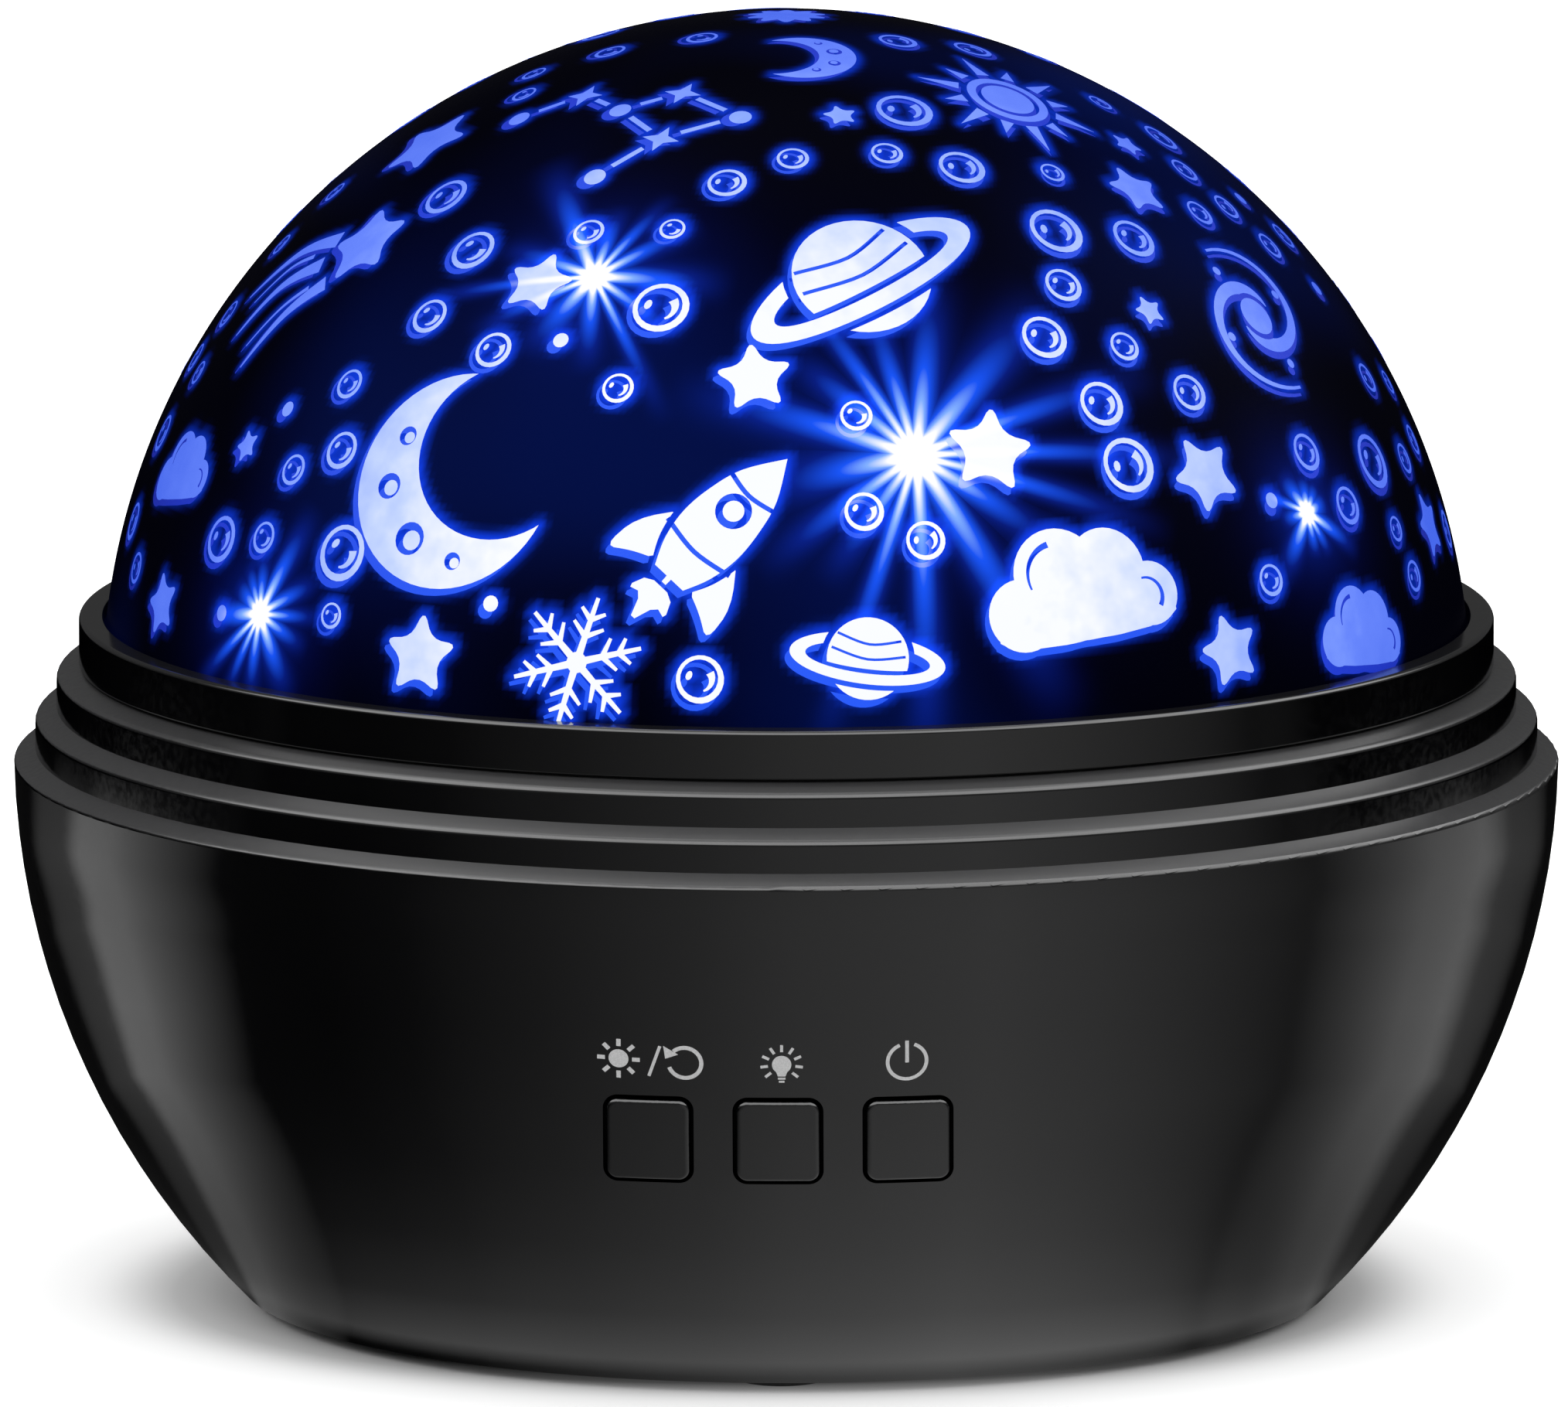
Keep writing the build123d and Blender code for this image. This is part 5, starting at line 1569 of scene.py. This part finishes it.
class NIGHTLIGHT_OT_works(bpy.types.Operator):
    """Finishes the cells, the contacts, the boards, the gears, the motor, the lamp and the inlet"""

    bl_idname = "nightlight.works"
    bl_label = "Works finishes"

    def execute(self, context):
        paint(cell_material("cell_plus_right", 1.0), "battery_cell_1", "battery_cell_3")
        paint(cell_material("cell_plus_left", -1.0), "battery_cell_2", "battery_cell_4")
        paint(surface(*NICKEL), "battery_contacts", "motor_shaft")
        paint(surface(*DRAWN_STEEL), "motor_can")
        paint(surface(*BRASS), "inlet_pin")
        paint(board_material(), "control_board", "inlet_board", "led_board")
        paint(surface(*BLACK_PART), "control_chip", "power_inlet", *numbered("switch_body", 3))
        moulded = ("drive_pinion", "gearbox_case", "ring_gear", *numbered("switch_plunger", 3))
        paint(surface(*NYLON), *moulded)
        paint(clear_material("clear_lens", (0.93, 0.96, 1.0), 0.03), "lens_cap")
        blue_glow = {"Emission Color": screen(60, 120, 255), "Emission Strength": 3.0}
        lamps = (
            ("led_warm", (1.0, 0.86, 0.52), None),
            ("led_red", (0.95, 0.12, 0.08), None),
            ("led_green", (0.15, 0.85, 0.25), None),
            ("led_blue", (0.2, 0.4, 1.0), blue_glow),
        )
        for name, colour, glow in lamps:
            paint(clear_material(name + "_epoxy", colour, 0.08, glow), name)
        return {"FINISHED"}


# The stage


def degrees_round(place):
    """Degrees round from the front, positive to the right, distance from the middle, and height."""
    x, y, z = place.split()
    turn = x.math("ARCTAN2", y * -1.0).math("DEGREES")
    return turn, x.wiring.join(x, y).vector("LENGTH"), z


# What a gloss side mirrors of the table: degrees round from the front, and brightness there
TABLE_CARDS = (
    *((-180, 0.005), (-131, 0.005), (-125, 0.09), (-114, 0.15), (-109, 0.66), (-100, 0.75), (-90, 0.46)),
    *((-82, 0.22), (-76, 0.012), (-60, 0.01), (-48, 0.03), (-30, 0.12), (-10, 0.26), (2, 0.38), (26, 0.5)),
    *((40, 0.4), (60, 0.2), (71, 0.1), (82, 0.34), (94, 0.62), (107, 0.62), (116, 0.15), (128, 0.08)),
    *((136, 0.005), (180, 0.005)),
)
# From near the object to far from it: how far the cards widen, how much the side cards dim, how bright the
# table close by is mirrored, and how it is lifted to white outside the shadow
WIDENING = ((0.0, 0.42), (0.07, 0.38), (0.2, 0.28), (0.37, 0.13), (0.63, 0.07), (1.0, 0.0))
DIMMING = ((0.0, 0.75), (0.07, 0.65), (0.2, 0.4), (0.37, 0.15), (0.6, 0.0))
# Painted shade and light for the gloss: the mirrored table is black under the object's foot, where its
# shadow falls, brightest just outside it, mostly ahead, and fading further out
NEAR_TABLE = (
    *((0.03, 0.0), (0.05, 0.46), (0.06, 0.42), (0.12, 0.2)),
    *((0.24, 0.1), (0.42, 0.045), (0.66, 0.015), (1.0, 0.0)),
)
LIFTING = (
    *((0.0, 0.0), (0.066, 0.05), (0.1, 0.15), (0.133, 0.27)),
    *((0.166, 0.38), (0.2, 0.45), (0.27, 0.5), (1.0, 0.8)),
)
WHITE = (1.0, 1.0, 1.0, 1.0)


def mirrored_table(turn, reach):
    """How bright a gloss side sees the table, with flags at its sides that dim it."""
    far = reach.spread(50 * MM, 150 * MM, kind="LINEAR")
    widened = far.ramp(WIDENING) + reach.spread(150 * MM, 220 * MM, 1.0, 0.93)
    wide_turn = turn * widened
    share = wide_turn.spread(-180.0, 180.0, kind="LINEAR")
    card = share.ramp([((angle + 180) / 360, level) for angle, level in TABLE_CARDS])
    aside = wide_turn.math("ABSOLUTE").spread(60.0, 85.0)
    card *= 1.0 - aside * far.ramp(DIMMING)
    card *= 1.0 - aside * reach.spread(284 * MM, 312 * MM)
    card *= reach.spread(200 * MM, 320 * MM, 1.0, 0.84)
    near = reach.spread(44 * MM, 114 * MM, kind="LINEAR").ramp(NEAR_TABLE)
    return card + near * turn.math("ABSOLUTE").spread(24.0, 72.0, 1.0, 0.1)


def floor_material():
    """Pale floor that keeps the shadow. Gloss sees it as a bright table with darker flags to the sides."""
    material, place = new_material("pale_floor")
    wiring = place.wiring
    turn, reach, _ = degrees_round(place)
    level = mirrored_table(turn, reach)
    mirrored = wiring.signal("ShaderNodeEmission", {"Color": level, "Strength": 1.0})
    pale = place.noise(40.0).mix((0.9, 0.9, 0.9, 1.0), (0.93, 0.93, 0.93, 1.0))
    matt = wiring.signal("ShaderNodeBsdfDiffuse", {"Color": pale})
    # Painted light over the shadow: the white lift for the camera washes out the cast shadow except near the
    # object, fading out closer in ahead of it and on its right, so the shadow's reach is painted
    heading = turn.math("RADIANS")
    ahead = heading.math("COSINE").math("MAXIMUM", 0.0)
    push = ahead**2.0 * (9 * MM) + heading.math("SINE") * (1.5 * MM)
    lifting = (reach + push).spread(46 * MM, 106 * MM, kind="LINEAR").ramp(LIFTING)
    lift = wiring.signal("ShaderNodeEmission", {"Color": WHITE, "Strength": lifting})
    lifted = wiring.signal("ShaderNodeAddShader", {0: matt, 1: lift})
    path = wiring.outputs("ShaderNodeLightPath")
    seen = path["Is Camera Ray"].either(matt, lifted)
    top = path["Is Glossy Ray"].either(seen, mirrored)
    back = wiring.signal("ShaderNodeNewGeometry", {}, "Backfacing")
    under = wiring.signal("ShaderNodeBsdfTransparent")
    wiring.add("ShaderNodeOutputMaterial", {0: back.either(top, under)})
    return material


def tent_world():
    """White behind the object, and a light tent for all else: a soft band round the front and sides."""
    world = bpy.data.worlds.new("light_tent")
    world.use_nodes = True
    world.node_tree.nodes.clear()
    wiring = Wiring(world.node_tree)
    turn, _, rise = degrees_round(wiring.signal("ShaderNodeTexCoord", {}, "Generated"))
    path = wiring.outputs("ShaderNodeLightPath")
    glossy = path["Is Glossy Ray"]
    height = rise.math("ARCSINE").math("DEGREES")
    share = height / 90.0
    roof = share.ramp(((0.0, 0.16), (0.25, 0.3), (0.6, 0.7), (1.0, 0.85)))
    rear = share.ramp(((0.0, 0.06), (0.45, 0.08), (0.55, 0.4), (0.65, 1.8), (1.0, 1.6)))
    wide = turn.math("ABSOLUTE").spread(128.0, 150.0, 1.0, 0.0)
    leaning = (turn - 12.0).math("ABSOLUTE").spread(108.0, 130.0, 1.0, 0.0)
    band = height.spread(14.0, 26.0) * height.spread(60.0, 72.0, 1.0, 0.0)
    band *= glossy.mix(wide, leaning)
    roof = ((1.0 - leaning) * glossy).mix(roof, rear)
    strip = glossy.mix((1.3, 1.3, 1.3, 1.0), (3.2, 3.2, 3.2, 1.0))
    tent = band.mix(roof, strip)
    light = wiring.signal("ShaderNodeBackground", {"Color": tent, "Strength": 1.0})
    white = wiring.signal("ShaderNodeBackground", {"Color": WHITE, "Strength": 1.0})
    plain = path["Is Camera Ray"].math("MAXIMUM", path["Is Transmission Ray"])
    wiring.add("ShaderNodeOutputWorld", {0: plain.either(light, white)})
    return world


class NIGHTLIGHT_OT_stage(bpy.types.Operator):
    """Lays the pale floor, hangs the light tent and sets the camera"""

    bl_idname = "nightlight.stage"
    bl_label = "Stage"

    def execute(self, context):
        stage = context.scene.night_light.stage
        half = stage.floor_size
        corners = [(-half, -half, 0), (half, -half, 0), (half, half, 0), (-half, half, 0)]
        floor = raw_mesh("floor", corners, [(0, 1, 2, 3)])
        floor.data.materials.append(floor_material())
        context.scene.world = tent_world()
        lens = bpy.data.cameras.new("camera")
        lens.sensor_fit = "HORIZONTAL"
        lens.sensor_width = 36.0
        lens.lens = lens.sensor_width * stage.distance / stage.view_width
        lens.clip_start, lens.clip_end = 0.05, 100.0
        camera = show("camera", lens)
        rise, turn = stage.elevation, stage.azimuth
        away = Vector((math.sin(turn) * math.cos(rise), -math.cos(turn) * math.cos(rise), math.sin(rise)))
        camera.location = Vector(stage.target) + away * stage.distance
        camera.rotation_euler = away.to_track_quat("Z", "Y").to_euler()
        context.scene.camera = camera
        context.scene.view_settings.view_transform = "Standard"
        return {"FINISHED"}


class NIGHTLIGHT_PT_steps(bpy.types.Panel):
    """Lists the making steps in their order"""

    bl_idname = "NIGHTLIGHT_PT_steps"
    bl_label = "Dome night light"
    bl_space_type = "VIEW_3D"
    bl_region_type = "UI"
    bl_category = TAB

    def draw(self, context):
        for step in STEPS:
            self.layout.operator(step.bl_idname)


STEPS = (
    NIGHTLIGHT_OT_sky_prints,
    NIGHTLIGHT_OT_small_prints,
    NIGHTLIGHT_OT_film_dome,
    NIGHTLIGHT_OT_key_symbols,
    NIGHTLIGHT_OT_screws,
    NIGHTLIGHT_OT_housing,
    NIGHTLIGHT_OT_collar,
    NIGHTLIGHT_OT_works,
    NIGHTLIGHT_OT_stage,
)
CLASSES = (
    DomeSettings,
    PrintSettings,
    KeySettings,
    StageSettings,
    NightLightSettings,
    *STEPS,
    NIGHTLIGHT_PT_steps,
)


def register():
    for kind in CLASSES:
        bpy.utils.register_class(kind)
    bpy.types.Scene.night_light = bpy.props.PointerProperty(type=NightLightSettings)


def unregister():
    del bpy.types.Scene.night_light
    for kind in reversed(CLASSES):
        bpy.utils.unregister_class(kind)


def main():
    register()
    for step in STEPS:
        group, name = step.bl_idname.split(".")
        getattr(getattr(bpy.ops, group), name)()


if __name__ == "__main__":
    main()
